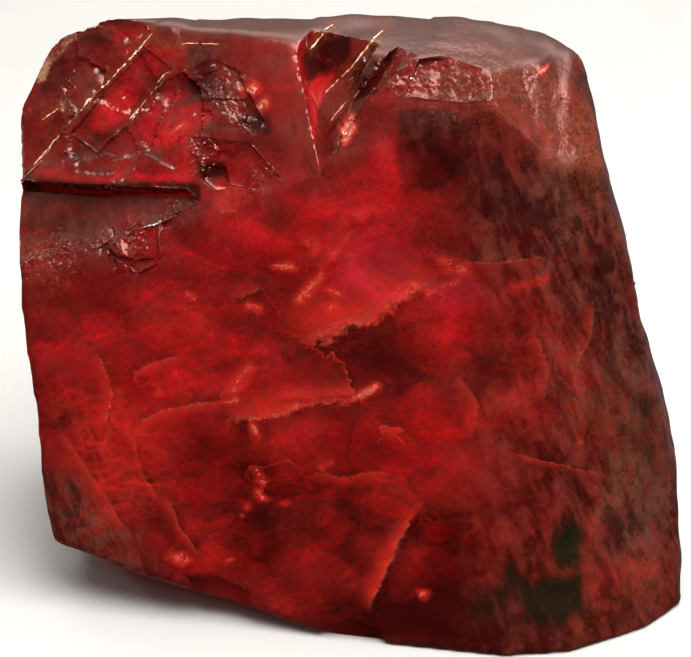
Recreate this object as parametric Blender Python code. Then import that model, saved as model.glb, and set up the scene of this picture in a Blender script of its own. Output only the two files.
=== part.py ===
"""A raw ruby crystal about 20 mm across, standing on its broken base.

The stone is one piece. Its main faces are planes cut from a block and worn a little at their
edges. Chips, parting steps, a notch and pits are then cut out of it, and last the skin gets
its low relief: waves on the glassy face, grooves on the frosted side, growth steps at the back.
Metres, +Z up. The front of the stone looks along -Y and it stands on the plane Z = 0.
"""

import math

import bmesh
import bpy
import numpy as np
from mathutils import Matrix, Vector

MM = 0.001

# Driving dimensions, in millimetres. Points below are X to the right, Y to the back and Z up,
# counted from the front of the base, and MIDDLE_X and MIDDLE_Y are the middle of the stone there.
WIDTH = 20.3
MIDDLE_X = 0.34
MIDDLE_Y = 5.66
CELL = 0.17
CAD_TRIANGLES = 8800

# Main faces: azimuth of the outward normal in degrees (0 looks to the front, 90 to the right),
# how far the normal leans up from level in degrees, and one point that the plane passes through.
FACES = {
    "front": (-10, 13, (1.65, 0.28, 0.0)),
    "front_middle": (6, 14, (5.6, -0.19, 0.0)),
    "front_right": (27, 13.5, (7.3, 0.2, 0.0)),
    "right_shoulder": (46, 13, (9.55, 1.55, 0.0)),
    "right_low": (91, 3, (10.40, 3.3, 0.0)),
    "right_high": (90, 14.4, (8.54, 5.0, 10.4)),
    "back_right": (132, 9, (8.3, 9.2, 0.0)),
    "back": (176, 11, (0.0, 11.6, 0.0)),
    "back_left": (232, 6, (-9.6, 8.6, 13.0)),
    "left_low": (264, -6.5, (-9.66, 4.3, 8.7)),
    "left_high": (275, -4.5, (-10.0, 4.6, 9.5)),
    "top_left": (-112, 37, (-9.08, 6.5, 16.88)),
    "top": (-90, 88.3, (1.6, 8.1, 17.33)),
    "top_end": (80, 82, (3.6, 8.0, 17.30)),
    "scar": (-22, 34, (-5.0, 8.0, 17.25)),
    "corner": (70, 46, (7.28, 7.5, 17.12)),
    "top_right": (44, 42, (6.75, 6.0, 16.25)),
    "underside": (-38, -61, (-8.9, 3.1, 1.95)),
    "base": (0, -90, (0.0, 5.0, 0.0)),
}

# The view that the seen cuts were picked in: its size in pixels, its focal length in pixels, how far it
# looks down in degrees, how far away it is in millimetres, and the point that it looks at.
VIEW_COLUMNS = 691
VIEW_ROWS = 657
VIEW_FOCAL = VIEW_COLUMNS * 150 / 36
VIEW_TILT = 30
VIEW_AWAY = 86.1
VIEW_AIM = (0.0, 4.0, 9.0)

# Seen cuts: the face each starts from, and its outline as the column and row of the view, in pixels,
# and how deep the cut is at that corner, in millimetres.
SEEN_CUTS = {
    "outer_parting_step": ("scar", [(153, 33, 0.02), (106, 85, 0.34), (70, 122, 0.42), (40, 158, 0.42),
                                    (-8, 206, 0.42), (-70, 67, 0.02), (30, -76, 0.0)]),
    "inner_parting_step": ("scar", [(172, 68, 0.05), (128, 122, 0.34), (97, 154, 0.30), (70, 133, 0.12),
                                    (104, 92, 0.08), (147, 47, 0.05)]),
    "ledge_recess": ("scar", [(0, 182, 0.55), (100, 190, 0.62), (186, 190, 0.50), (200, 202, 0.30),
                              (150, 208, 0.20), (118, 225, 0.12), (90, 249, 0.05), (0, 267, 0.05)]),
    "notch_deep": ("scar", [(296, 56, 0.85), (306, 100, 1.15), (313, 138, 1.10), (321, 178, 0.45),
                            (333, 151, 0.25), (321, 100, 0.55), (354, 62, 0.45), (382, 26, 0.35),
                            (315, -13, 0.55)]),
    "notch_wall": ("scar", [(320, 127, 0.62), (382, 66, 0.50), (400, 45, 0.30), (360, 103, 0.12),
                            (336, 151, 0.12), (324, 157, 0.40)]),
    "notch_lip": ("scar", [(380, 63, 0.42), (410, 21, 0.40), (426, 44, 0.10), (397, 71, 0.10),
                           (371, 102, 0.14)]),
    "left_fissure": ("scar", [(277, 129, 0.05), (291, 139, 0.35), (318, 191, 0.30), (310, 199, 0.10),
                              (272, 153, 0.05)]),
}

# Other cuts: the face each starts from, and its outline as X, Z and depth, all in millimetres.
# On a face that looks left or right, the first is Y.
CUTS = {
    "granular_hollow": ("scar", [(-3.85, 16.45, 0.10), (-3.1, 16.3, 0.38), (-2.35, 15.2, 0.45),
                                 (-2.7, 14.8, 0.25), (-3.6, 15.2, 0.20), (-4.2, 15.8, 0.08)]),
    "dark_hole": ("scar", [(-4.15, 13.95, 0.25), (-3.6, 13.95, 0.55), (-3.5, 13.45, 0.60),
                           (-3.9, 13.3, 0.35), (-4.25, 13.5, 0.2)]),
    "scar_foot": ("scar", [(-4.6, 14.5, 0.05), (-3.9, 13.6, 0.34), (-2.6, 13.5, 0.30), (-1.9, 13.9, 0.05),
                           (-2.8, 14.6, 0.02)]),
    "top_right_hollow": ("scar", [(1.7, 16.35, 0.05), (2.1, 17.3, 0.28), (3.2, 17.6, 0.34),
                                  (4.6, 17.3, 0.30), (4.9, 16.8, 0.05), (3.4, 16.45, 0.12)]),
    "glint_pit": ("front", [(-4.8, 10.45, 0.20), (-4.42, 10.40, 0.30), (-4.40, 10.05, 0.22),
                            (-4.75, 9.98, 0.15)]),
    "sparkly_triangle": ("front", [(-7.0, 12.4, 0.30), (-5.6, 12.6, 0.34), (-5.5, 11.2, 0.10),
                                   (-6.2, 10.8, 0.05), (-7.1, 11.3, 0.12)]),
    "edge_chip_left": ("left_high", [(5.2, 12.6, 0.20), (4.1, 12.0, 0.30), (4.2, 10.6, 0.24),
                                     (5.2, 10.9, 0.05)]),
    "right_notch": ("front_right", [(8.9, 3.42, 0.05), (9.6, 3.36, 0.20), (10.6, 3.2, 0.42),
                                    (10.6, 2.85, 0.30), (9.5, 3.12, 0.05)]),
    "foot_chip": ("front", [(-0.9, -0.5, 0.55), (1.4, -0.5, 0.50), (1.1, 0.42, 0.10), (0.2, 0.75, 0.06),
                            (-0.7, 0.45, 0.10)]),
    "foot_chip_left": ("front", [(-4.6, 0.6, 0.40), (-3.0, 0.1, 0.45), (-2.9, 1.25, 0.08),
                                 (-3.9, 1.7, 0.08), (-4.9, 1.6, 0.10)]),
    "back_chip": ("back", [(3.4, 1.3, 0.20), (2.9, -1.2, 0.80), (10.5, -1.2, 2.0), (10.5, 2.4, 1.6),
                           (6.3, 3.5, 0.05)]),
    "back_terrace": ("back", [(-11.0, 8.3, 0.34), (-4.2, 9.1, 0.30), (0.3, 6.0, 0.26), (1.9, -1.0, 0.30),
                              (-11.0, -1.0, 0.50)]),
    "back_terrace_lower": ("back", [(-11.0, 5.2, 0.72), (-5.4, 6.1, 0.62), (-2.2, 3.4, 0.55),
                                    (-1.4, -1.0, 0.60), (-11.0, -1.0, 0.80)]),
    "back_ledge": ("back", [(2.6, 13.6, 0.12), (4.4, 11.2, 0.20), (9.5, 9.8, 0.45), (9.5, 13.8, 0.45),
                            (4.6, 15.3, 0.20)]),
    "right_chip": ("right_high", [(6.2, 9.2, 0.10), (8.6, 8.2, 0.50), (9.8, 11.2, 0.75),
                                  (8.4, 13.4, 0.40), (6.4, 12.2, 0.10)]),
}

# Soft places, where running water has rounded the stone: centre, reach and number of smoothing passes.
WORN = [((6.2, 0.6, 6.0), 6.5, 26), ((7.4, 6.0, 15.6), 3.0, 14), ((-8.9, 3.2, 2.0), 1.6, 8),
        ((10.2, 3.0, 0.6), 2.2, 10)]


def normal_of(face):
    """The outward normal of a face from its two angles."""
    turn, rise = math.radians(FACES[face][0]), math.radians(FACES[face][1])
    return Vector((math.sin(turn) * math.cos(rise), -math.cos(turn) * math.cos(rise), math.sin(rise)))


def place(point):
    """A point in millimetres as metres in the stone's own frame, with the middle of the base at 0."""
    return Vector((point[0] - MIDDLE_X, point[1] - MIDDLE_Y, point[2])) * MM


def on_face(face, across, height):
    """The point of a face at this height. Across is X, or Y for a face that looks left or right."""
    normal, start = normal_of(face), FACES[face][2]
    if abs(normal.x) > abs(normal.y):
        depth = start[0] - ((across - start[1]) * normal.y + (height - start[2]) * normal.z) / normal.x
        return place((depth, across, height))
    depth = start[1] - ((across - start[0]) * normal.x + (height - start[2]) * normal.z) / normal.y
    return place((across, depth, height))


def seen_on(face, column, row):
    """The point of a face that shows at this pixel of the view."""
    tilt = math.radians(VIEW_TILT)
    ahead = Vector((0, math.cos(tilt), -math.sin(tilt)))
    right = Vector((1, 0, 0))
    eye = place(VIEW_AIM) - ahead * VIEW_AWAY * MM
    ray = ahead * VIEW_FOCAL + right * (column - VIEW_COLUMNS / 2)
    ray += right.cross(ahead) * (VIEW_ROWS / 2 - row)
    normal = normal_of(face)
    return eye + ray * ((place(FACES[face][2]) - eye).dot(normal) / ray.dot(normal))


def corners_of(name):
    """The face of a cut, and the corners of its outline on it, each with how deep the cut is there."""
    if name in SEEN_CUTS:
        face, outline = SEEN_CUTS[name]
        return face, [(seen_on(face, column, row), depth) for column, row, depth in outline]
    face, outline = CUTS[name]
    return face, [(on_face(face, across, height), depth) for across, height, depth in outline]


def new_object(name, mesh):
    data = bpy.data.meshes.new(name)
    bmesh.ops.recalc_face_normals(mesh, faces=mesh.faces)
    mesh.to_mesh(data)
    mesh.free()
    made = bpy.data.objects.new(name, data)
    bpy.context.scene.collection.objects.link(made)
    return made


def bake_modifiers(obj):
    """The object's shape with its modifiers taken in, which are then removed."""
    graph = bpy.context.evaluated_depsgraph_get()
    made = bpy.data.meshes.new_from_object(obj.evaluated_get(graph))
    old = obj.data
    obj.modifiers.clear()
    obj.data = made
    bpy.data.meshes.remove(old)


def make_block():
    """A block larger than the stone, cut down by one plane for each main face."""
    mesh = bmesh.new()
    bmesh.ops.create_cube(mesh, size=3 * WIDTH * MM)
    for face, (_, _, point) in FACES.items():
        cut = bmesh.ops.bisect_plane(
            mesh, geom=mesh.verts[:] + mesh.edges[:] + mesh.faces[:],
            plane_co=place(point), plane_no=normal_of(face), clear_outer=True, dist=1e-7,
        )
        rim = [e for e in cut["geom_cut"] if isinstance(e, bmesh.types.BMEdge)]
        if rim:
            bmesh.ops.holes_fill(mesh, edges=rim)
    return new_object("ruby_crystal", mesh)


def soften(stone, passes=3):
    """Wears the edges of the block: a little everywhere, and more in the soft places."""
    # The base is moved off the grid's own planes first, or points on it would coincide.
    off_grid = Matrix.Translation(Vector((0.37, 0.41, 0.45)) * CELL * MM)
    stone.data.transform(off_grid)
    grid = stone.modifiers.new("Grid", "REMESH")
    grid.mode, grid.voxel_size = "VOXEL", 1.5 * CELL * MM
    bake_modifiers(stone)
    stone.data.transform(off_grid.inverted())
    groups = [("everywhere", None, 0, passes)]
    for number, (centre, reach, times) in enumerate(WORN):
        groups.append((f"worn_{number}", place(centre), reach * MM, times))
    for name, centre, reach, times in groups:
        group = stone.vertex_groups.new(name=name)
        for vertex in stone.data.vertices:
            near = 1.0 if centre is None else max(0.0, 1 - (vertex.co - centre).length / reach)
            if near > 0 and vertex.co.z > 0.3 * MM:
                group.add([vertex.index], min(1.0, 1.6 * near), "REPLACE")
        smooth = stone.modifiers.new(name, "SMOOTH")
        smooth.factor, smooth.iterations, smooth.vertex_group = 0.5, times, name
    bake_modifiers(stone)
    stone.vertex_groups.clear()


def make_cutter(name):
    """The hull between a cut's outline, raised above its face, and its floor below the face."""
    face, corners = corners_of(name)
    normal = normal_of(face)
    mesh = bmesh.new()
    for at, depth in corners:
        mesh.verts.new(at + normal * 1.2 * MM)
        mesh.verts.new(at - normal * depth * MM)
    made = bmesh.ops.convex_hull(mesh, input=mesh.verts[:])
    bmesh.ops.delete(mesh, geom=list({*made["geom_interior"], *made["geom_unused"]}), context="VERTS")
    return new_object("cut_" + name, mesh)


def cut_out(stone):
    """Takes every cut out. The grid is dense, and only the MANIFOLD solver leaves it closed everywhere."""
    for name in [*SEEN_CUTS, *CUTS]:
        cutter = make_cutter(name)
        cut = stone.modifiers.new(name, "BOOLEAN")
        cut.operation, cut.solver, cut.object = "DIFFERENCE", "MANIFOLD", cutter
        bake_modifiers(stone)
        bpy.data.objects.remove(cutter)


def read_mesh(stone):
    """The points in millimetres and the triangles of a mesh, as arrays."""
    mesh = stone.data
    mesh.calc_loop_triangles()
    points = np.empty(len(mesh.vertices) * 3)
    mesh.vertices.foreach_get("co", points)
    faces = np.empty(len(mesh.loop_triangles) * 3, np.int32)
    mesh.loop_triangles.foreach_get("vertices", faces)
    return points.reshape(-1, 3) / MM, faces.reshape(-1, 3)


def write_mesh(stone, points, faces):
    made = bpy.data.meshes.new("ruby_crystal")
    made.from_pydata((points * MM).tolist(), [], faces.tolist())
    old = stone.data
    stone.data = made
    bpy.data.meshes.remove(old)


def halve_long_edges(points, faces, longest):
    """Splits every edge longer than this at its middle, and the triangles beside it, until none is left."""
    while True:
        sides = np.stack([faces, np.roll(faces, -1, axis=1)], axis=2)
        edges, which = np.unique(np.sort(sides.reshape(-1, 2), axis=1), axis=0, return_inverse=True)
        length = np.linalg.norm(points[edges[:, 0]] - points[edges[:, 1]], axis=1)
        is_long = length > longest
        if not is_long.any():
            return points, faces
        middle = np.where(is_long, len(points) + np.cumsum(is_long) - 1, -1)[which.reshape(-1, 3)]
        points = np.concatenate([points, points[edges[is_long]].mean(axis=1)])
        turn = np.zeros(len(faces), int)
        split = middle >= 0
        count = split.sum(axis=1)
        turn[count == 1] = np.argmax(split[count == 1], axis=1)
        turn[count == 2] = (np.argmin(split[count == 2], axis=1) + 1) % 3
        order = (turn[:, None] + np.arange(3)) % 3
        a, b, c = np.take_along_axis(faces, order, axis=1).T
        ab, bc, ca = np.take_along_axis(middle, order, axis=1).T
        one, two, three = count == 1, count == 2, count == 3
        faces = np.concatenate([
            faces[count == 0],
            np.stack([a, ab, c], axis=1)[one], np.stack([ab, b, c], axis=1)[one],
            np.stack([ab, b, bc], axis=1)[two], np.stack([a, ab, bc], axis=1)[two],
            np.stack([a, bc, c], axis=1)[two],
            np.stack([a, ab, ca], axis=1)[three], np.stack([ab, b, bc], axis=1)[three],
            np.stack([ca, bc, c], axis=1)[three], np.stack([ab, bc, ca], axis=1)[three],
        ])


def refine(stone, longest):
    """Gives the cut faces enough points for the relief to move."""
    write_mesh(stone, *halve_long_edges(*read_mesh(stone), longest))


def ripples(points, length, seed, stretch=(1, 1, 1)):
    """Smooth unevenness of about -1 to 1 with this wavelength, as a sum of seeded waves."""
    chance = np.random.default_rng(seed)
    total = np.zeros(len(points))
    for _ in range(14):
        way = chance.normal(size=3)
        way *= 2 * math.pi / (length * chance.uniform(0.75, 1.35) * np.linalg.norm(way))
        total += np.sin(points / np.array(stretch) @ way + chance.uniform(0, 2 * math.pi))
    return total / 3.7


def near(points, centre, reach):
    """1 at the centre and 0 past the reach, with a smooth fall between."""
    away = np.linalg.norm(points - np.array(centre), axis=1) / reach
    return np.clip(1 - away**2, 0, 1) ** 2


def relief(points, normals):
    """How far the skin stands out at each point, in millimetres."""
    x, y, z = points.T
    front = np.clip(-normals[:, 1] * 1.6, 0, 1)
    back = np.clip(normals[:, 1] * 1.6, 0, 1)
    right = np.clip((x - 3.2) / 3.5, 0, 1) * np.clip(1.2 - back, 0, 1)
    lift = 0.055 * ripples(points, 3.6, 1) + 0.02 * ripples(points, 1.3, 2)
    lift += 0.05 * front * (1 - right) * ripples(points, 2.2, 3, (1.6, 1, 0.8))
    along = np.stack([x * 0.96 - z * 0.22, y * 0.5, (z * 0.97 + x * 0.24) / 3.2], axis=1)
    lift += (0.055 + 0.03 * ripples(points, 2.6, 9)) * right * ripples(along, 0.85, 4)
    climb = z + 0.35 * x
    steps = climb / 1.9 + 0.35 * np.sin(climb / 1.3) + 0.10 * ripples(points, 3.1, 5)
    lift += (0.07 + 0.04 * ripples(points, 6.0, 8)) * back * (0.5 - (steps - np.floor(steps)))
    tongue = np.clip(1.2 - np.abs(x + 1.9 + 0.55 * (16.2 - z)), 0, 1)
    lift += 0.30 * near(points, (-1.9, 6.2, 16.2), 1.5) * tongue
    grain = 0.13 * ripples(points, 0.55, 6) + 0.06 * ripples(points, 0.32, 7)
    for centre, reach in (((-3.6, 6.0, 15.6), 1.4), ((-4.1, 5.3, 14.1), 0.9), ((-2.8, 5.8, 15.2), 1.1),
                          ((-0.2, 4.6, 15.0), 0.9), ((3.2, 4.9, 17.0), 2.2), ((1.9, 4.9, 16.8), 1.1),
                          ((-6.3, 4.6, 12.0), 1.3), ((-8.6, 5.0, 11.0), 1.4)):
        lift += grain * near(points, centre, reach)
    return lift * np.clip((z - 0.1) / 0.8, 0, 1)


def add_relief(stone):
    points, faces = read_mesh(stone)
    normals = np.empty(len(points) * 3, np.float32)
    stone.data.vertex_normals.foreach_get("vector", normals)
    normals = normals.reshape(-1, 3)
    points += normals * relief(points + (MIDDLE_X, MIDDLE_Y, 0), normals)[:, None]
    points[:, 2] = np.maximum(points[:, 2], 0)
    write_mesh(stone, points, faces)


def simplify(stone, triangles):
    """Fewer triangles: flat places get large ones, and the edges of the cuts keep small ones."""
    stone.data.calc_loop_triangles()
    fewer = stone.modifiers.new("Fewer", "DECIMATE")
    fewer.ratio = triangles / len(stone.data.loop_triangles)
    fewer.use_collapse_triangulate = True
    bake_modifiers(stone)


def ruby_finish():
    """Deep red see-through stone, glassy where it is whole."""
    finish = bpy.data.materials.new("ruby")
    finish.use_nodes = True
    shader = finish.node_tree.nodes["Principled BSDF"]
    shader.inputs["Base Color"].default_value = (0.42, 0.02, 0.02, 1)
    shader.inputs["Roughness"].default_value = 0.12
    shader.inputs["Metallic"].default_value = 0
    shader.inputs["IOR"].default_value = 1.76
    shader.inputs["Transmission Weight"].default_value = 1
    return finish


for old in list(bpy.data.objects):
    bpy.data.objects.remove(old)
crystal = make_block()
soften(crystal)
cut_out(crystal)
refine(crystal, 2 * CELL)
add_relief(crystal)
simplify(crystal, CAD_TRIANGLES)
crystal.data.materials.append(ruby_finish())
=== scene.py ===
# %% [markdown]
# # A raw ruby crystal
#
# This lesson builds the look of one rough ruby, about 20 mm across, standing on its broken base.
# A ruby is corundum, aluminium oxide that a trace of chromium turns red. This one is a fragment:
# glassy where it broke or was worn smooth, frosted where sand ground it, and chipped at the top.
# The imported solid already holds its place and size. Here it gets a finer skin and its materials.

# %% The frame
import math

import bmesh
import bpy
import numpy as np
from mathutils import Matrix, Vector
from mathutils.bvhtree import BVHTree


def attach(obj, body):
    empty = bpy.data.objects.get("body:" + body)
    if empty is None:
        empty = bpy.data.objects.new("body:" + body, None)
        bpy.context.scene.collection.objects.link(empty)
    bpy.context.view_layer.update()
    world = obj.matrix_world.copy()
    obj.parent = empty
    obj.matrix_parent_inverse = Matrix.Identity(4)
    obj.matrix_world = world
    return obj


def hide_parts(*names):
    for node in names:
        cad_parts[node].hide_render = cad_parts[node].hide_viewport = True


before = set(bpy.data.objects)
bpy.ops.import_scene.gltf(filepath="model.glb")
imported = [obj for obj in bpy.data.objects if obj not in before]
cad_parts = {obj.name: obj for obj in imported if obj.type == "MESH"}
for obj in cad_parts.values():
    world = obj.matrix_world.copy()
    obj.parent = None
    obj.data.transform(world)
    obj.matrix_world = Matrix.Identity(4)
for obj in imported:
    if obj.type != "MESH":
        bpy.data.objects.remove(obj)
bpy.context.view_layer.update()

MM = 0.001

# %% [markdown]
# ## How points are written
#
# Points below are millimetres: X to the right, Y to the back and Z up, counted from the front of
# the base. `place` turns one into metres in the part's frame, whose origin is the middle of the
# base. Working in millimetres keeps the numbers close to what a ruler on the stone would read.
#
# A mark on the stone is easier to point at than to measure. So the marks are given by the column
# and row at which the view shows them, and `sight` turns such a pixel into a ray from the eye. The
# camera at the end of this script stands at the same place.

# %% Points
WIDTH = 20.3
MIDDLE_X = 0.34
MIDDLE_Y = 5.66


def place(point):
    """A point in millimetres as metres in the part's frame."""
    return Vector((point[0] - MIDDLE_X, point[1] - MIDDLE_Y, point[2])) * MM


# The view: its size in pixels, its lens and sensor in millimetres, how far it looks down in degrees,
# how far away it is in millimetres, and the point that it looks at.
VIEW_COLUMNS = 691
VIEW_ROWS = 657
VIEW_LENS = 150
VIEW_SENSOR = 36
VIEW_TILT = 30
VIEW_AWAY = 86.1
VIEW_AIM = (0.0, 4.0, 9.0)


def sight(column, row):
    """The eye of the view, and the direction in which it sees this pixel."""
    tilt = math.radians(VIEW_TILT)
    ahead = Vector((0, math.cos(tilt), -math.sin(tilt)))
    right = Vector((1, 0, 0))
    ray = ahead * VIEW_COLUMNS * VIEW_LENS / VIEW_SENSOR + right * (column - VIEW_COLUMNS / 2)
    ray += right.cross(ahead) * (VIEW_ROWS / 2 - row)
    return place(VIEW_AIM) - ahead * VIEW_AWAY * MM, ray.normalized()


def look_at(stone):
    """A function that gives the point of the stone at a pixel of the view, in millimetres."""
    tree = BVHTree.FromObject(stone, bpy.context.evaluated_depsgraph_get())

    def seen(column, row):
        hit = tree.ray_cast(*sight(column, row))[0]
        if hit is None:
            raise ValueError(f"the view doesn't show the stone at {column}, {row}")
        return tuple(np.array(hit) / MM + (MIDDLE_X, MIDDLE_Y, 0))

    return seen


print("the middle of the base:", tuple(place((MIDDLE_X, MIDDLE_Y, 0))))

# %% [markdown]
# ## The main faces
#
# A rough stone is a few broken and worn planes. Each is written as the azimuth of its outward
# normal (0 looks to the front, 90 to the right), how far that normal leans up from level, and one
# point that the plane passes through. The long front leans back by 13 degrees, the left side
# overhangs a little, and the "scar" is the slope at the top left where a flake came away.

# %% Main faces
FACES = {
    "front": (-10, 13, (1.65, 0.28, 0.0)),
    "front_middle": (6, 14, (5.6, -0.19, 0.0)),
    "front_right": (27, 13.5, (7.3, 0.2, 0.0)),
    "right_shoulder": (46, 13, (9.55, 1.55, 0.0)),
    "right_low": (91, 3, (10.40, 3.3, 0.0)),
    "right_high": (90, 14.4, (8.54, 5.0, 10.4)),
    "back_right": (132, 9, (8.3, 9.2, 0.0)),
    "back": (176, 11, (0.0, 11.6, 0.0)),
    "back_left": (232, 6, (-9.6, 8.6, 13.0)),
    "left_low": (264, -6.5, (-9.66, 4.3, 8.7)),
    "left_high": (275, -4.5, (-10.0, 4.6, 9.5)),
    "top_left": (-112, 37, (-9.08, 6.5, 16.88)),
    "top": (-90, 88.3, (1.6, 8.1, 17.33)),
    "top_end": (80, 82, (3.6, 8.0, 17.30)),
    "scar": (-22, 34, (-5.0, 8.0, 17.25)),
    "corner": (70, 46, (7.28, 7.5, 17.12)),
    "top_right": (44, 42, (6.75, 6.0, 16.25)),
    "underside": (-38, -61, (-8.9, 3.1, 1.95)),
    "base": (0, -90, (0.0, 5.0, 0.0)),
}


def normal_of(face):
    """The outward normal of a face from its two angles."""
    turn, rise = math.radians(FACES[face][0]), math.radians(FACES[face][1])
    return Vector((math.sin(turn) * math.cos(rise), -math.cos(turn) * math.cos(rise), math.sin(rise)))


def on_face(face, across, height):
    """The point of a face at this height. Across is X, or Y for a face that looks left or right."""
    normal, start = normal_of(face), FACES[face][2]
    if abs(normal.x) > abs(normal.y):
        depth = start[0] - ((across - start[1]) * normal.y + (height - start[2]) * normal.z) / normal.x
        return place((depth, across, height))
    depth = start[1] - ((across - start[0]) * normal.x + (height - start[2]) * normal.z) / normal.y
    return place((across, depth, height))


print(len(FACES), "main faces; the front looks along", tuple(round(n, 2) for n in normal_of("front")))

# %% [markdown]
# ## Sawing the block
#
# The stone starts as a cube much larger than itself. One plane after another cuts away what lies
# outside, and each opening is closed with a flat face. What is left is a closed solid with crisp
# flat faces, as a cleaved crystal would be before wear.

# %% The sawn block
# Points closer to a cutting plane than this, in metres, count as lying on it.
ON_PLANE = 1e-7


def new_object(name, mesh):
    """An object from a bmesh, with its faces turned outwards."""
    data = bpy.data.meshes.new(name)
    bmesh.ops.recalc_face_normals(mesh, faces=mesh.faces)
    mesh.to_mesh(data)
    mesh.free()
    made = bpy.data.objects.new(name, data)
    bpy.context.scene.collection.objects.link(made)
    return made


def saw_block():
    """The block that is left when every main face has cut away what lies outside it."""
    mesh = bmesh.new()
    bmesh.ops.create_cube(mesh, size=3 * WIDTH * MM)
    for face, (_, _, point) in FACES.items():
        cut = bmesh.ops.bisect_plane(
            mesh, geom=mesh.verts[:] + mesh.edges[:] + mesh.faces[:],
            plane_co=place(point), plane_no=normal_of(face), clear_outer=True, dist=ON_PLANE,
        )
        rim = [e for e in cut["geom_cut"] if isinstance(e, bmesh.types.BMEdge)]
        if rim:
            bmesh.ops.holes_fill(mesh, edges=rim)
    return new_object("ruby", mesh)


ruby = saw_block()
print("sawn block:", len(ruby.data.polygons), "flat faces")

# %% [markdown]
# ## Wearing the edges
#
# A stone that has rolled in a river has soft edges, and some places are worn more than others.
# A fine voxel grid gives the block points to move. A few smoothing passes round every edge a
# little, and weighted groups round the ridge on the right, the upper right corner and the two
# lower corners far more.

# %% Worn edges
# The finest detail that is kept, and a cell of the grid, both in millimetres.
DETAIL = 0.075
VOXEL = 1.5 * DETAIL
# How far the block is moved before the grid is laid over it, as shares of the finest detail.
OFF_GRID = (0.37, 0.41, 0.45)
# Nothing below this height is worn, so that the base stays flat.
BASE_RIM = 0.3
# A vertex group knows this many strengths of wear.
LEVELS = 8
# Smoothing passes over the whole block.
EDGE_PASSES = 14
# Places that are worn more: (centre, reach, passes).
WORN = [
    ((6.2, 0.6, 6.0), 6.5, 130), ((7.4, 6.0, 15.6), 3.0, 70),
    ((-8.9, 3.2, 2.0), 1.6, 40), ((10.2, 3.0, 0.6), 2.2, 50),
]


def bake_modifiers(obj):
    """Takes an object's modifiers into its mesh."""
    graph = bpy.context.evaluated_depsgraph_get()
    made = bpy.data.meshes.new_from_object(obj.evaluated_get(graph))
    old = obj.data
    obj.modifiers.clear()
    obj.data = made
    bpy.data.meshes.remove(old)


def points_of(mesh):
    """All points of a mesh, in millimetres."""
    points = np.empty(len(mesh.vertices) * 3)
    mesh.vertices.foreach_get("co", points)
    return points.reshape(-1, 3) / MM + (MIDDLE_X, MIDDLE_Y, 0)


def wear(stone, passes):
    """Lays a grid over the block and smooths it, everywhere a little and in the worn places more."""
    # The base is moved off the grid's own planes first, or points on it would coincide.
    off_grid = Matrix.Translation(Vector(OFF_GRID) * DETAIL * MM)
    stone.data.transform(off_grid)
    grid = stone.modifiers.new("Grid", "REMESH")
    grid.mode, grid.voxel_size = "VOXEL", VOXEL * MM
    bake_modifiers(stone)
    stone.data.transform(off_grid.inverted())
    points = points_of(stone.data)
    for number, (centre, reach, times) in enumerate([(None, 0, passes)] + WORN):
        near_by = np.ones(len(points))
        if centre is not None:
            near_by = np.clip(1.6 * (1 - np.linalg.norm(points - centre, axis=1) / reach), 0, 1)
        near_by[points[:, 2] < BASE_RIM] = 0
        group = stone.vertex_groups.new(name=f"worn_{number}")
        levels = np.round(near_by * LEVELS).astype(int)
        for level in range(1, LEVELS + 1):
            group.add(np.flatnonzero(levels == level).tolist(), level / LEVELS, "REPLACE")
        smooth = stone.modifiers.new(f"worn_{number}", "SMOOTH")
        smooth.factor, smooth.iterations, smooth.vertex_group = 0.5, times, group.name
    bake_modifiers(stone)
    stone.vertex_groups.clear()


wear(ruby, EDGE_PASSES)
print("worn block:", len(ruby.data.vertices), "points")

# %% [markdown]
# ## Chips, steps and the notch
#
# Corundum has no true cleavage, but it parts along flat planes, so its breaks are stepped. Each
# cut below starts from one face, and is the hull between its outline and its floor. The cuts that
# the view shows best have their corners as pixels of the view, and the others in millimetres. Each
# corner has its own depth, so a floor may slope, and a depth near 0 lets the cut run out into the
# surface. The notch at the top is three such cuts side by side, and the ledge on the left has a
# steep roof over a sloping floor.

# %% Cuts
# Seen cuts: the face each starts from, and its outline as the column and row of the view, in pixels,
# and how deep the cut is at that corner, in millimetres.
SEEN_CUTS = {
    "outer_parting_step": ("scar", [(153, 33, 0.02), (106, 85, 0.34), (70, 122, 0.42), (40, 158, 0.42),
                                    (-8, 206, 0.42), (-70, 67, 0.02), (30, -76, 0.0)]),
    "inner_parting_step": ("scar", [(172, 68, 0.05), (128, 122, 0.34), (97, 154, 0.30), (70, 133, 0.12),
                                    (104, 92, 0.08), (147, 47, 0.05)]),
    "ledge_recess": ("scar", [(0, 180, 0.20), (0, 188, 0.42), (100, 187, 0.22), (100, 194, 0.44),
                              (186, 189, 0.14), (185, 195, 0.34), (200, 202, 0.20), (150, 208, 0.16),
                              (118, 225, 0.12), (90, 249, 0.05), (0, 267, 0.05)]),
    "notch_deep": ("scar", [(296, 56, 0.85), (306, 100, 1.15), (313, 138, 1.10), (321, 178, 0.45),
                            (333, 151, 0.25), (321, 100, 0.55), (354, 62, 0.45), (382, 26, 0.35),
                            (315, -13, 0.55)]),
    "notch_wall": ("scar", [(320, 127, 0.62), (382, 66, 0.50), (400, 45, 0.30), (360, 103, 0.12),
                            (336, 151, 0.12), (324, 157, 0.40)]),
    "notch_lip": ("scar", [(380, 63, 0.42), (410, 21, 0.40), (426, 44, 0.10), (397, 71, 0.10),
                           (371, 102, 0.14)]),
}

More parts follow.
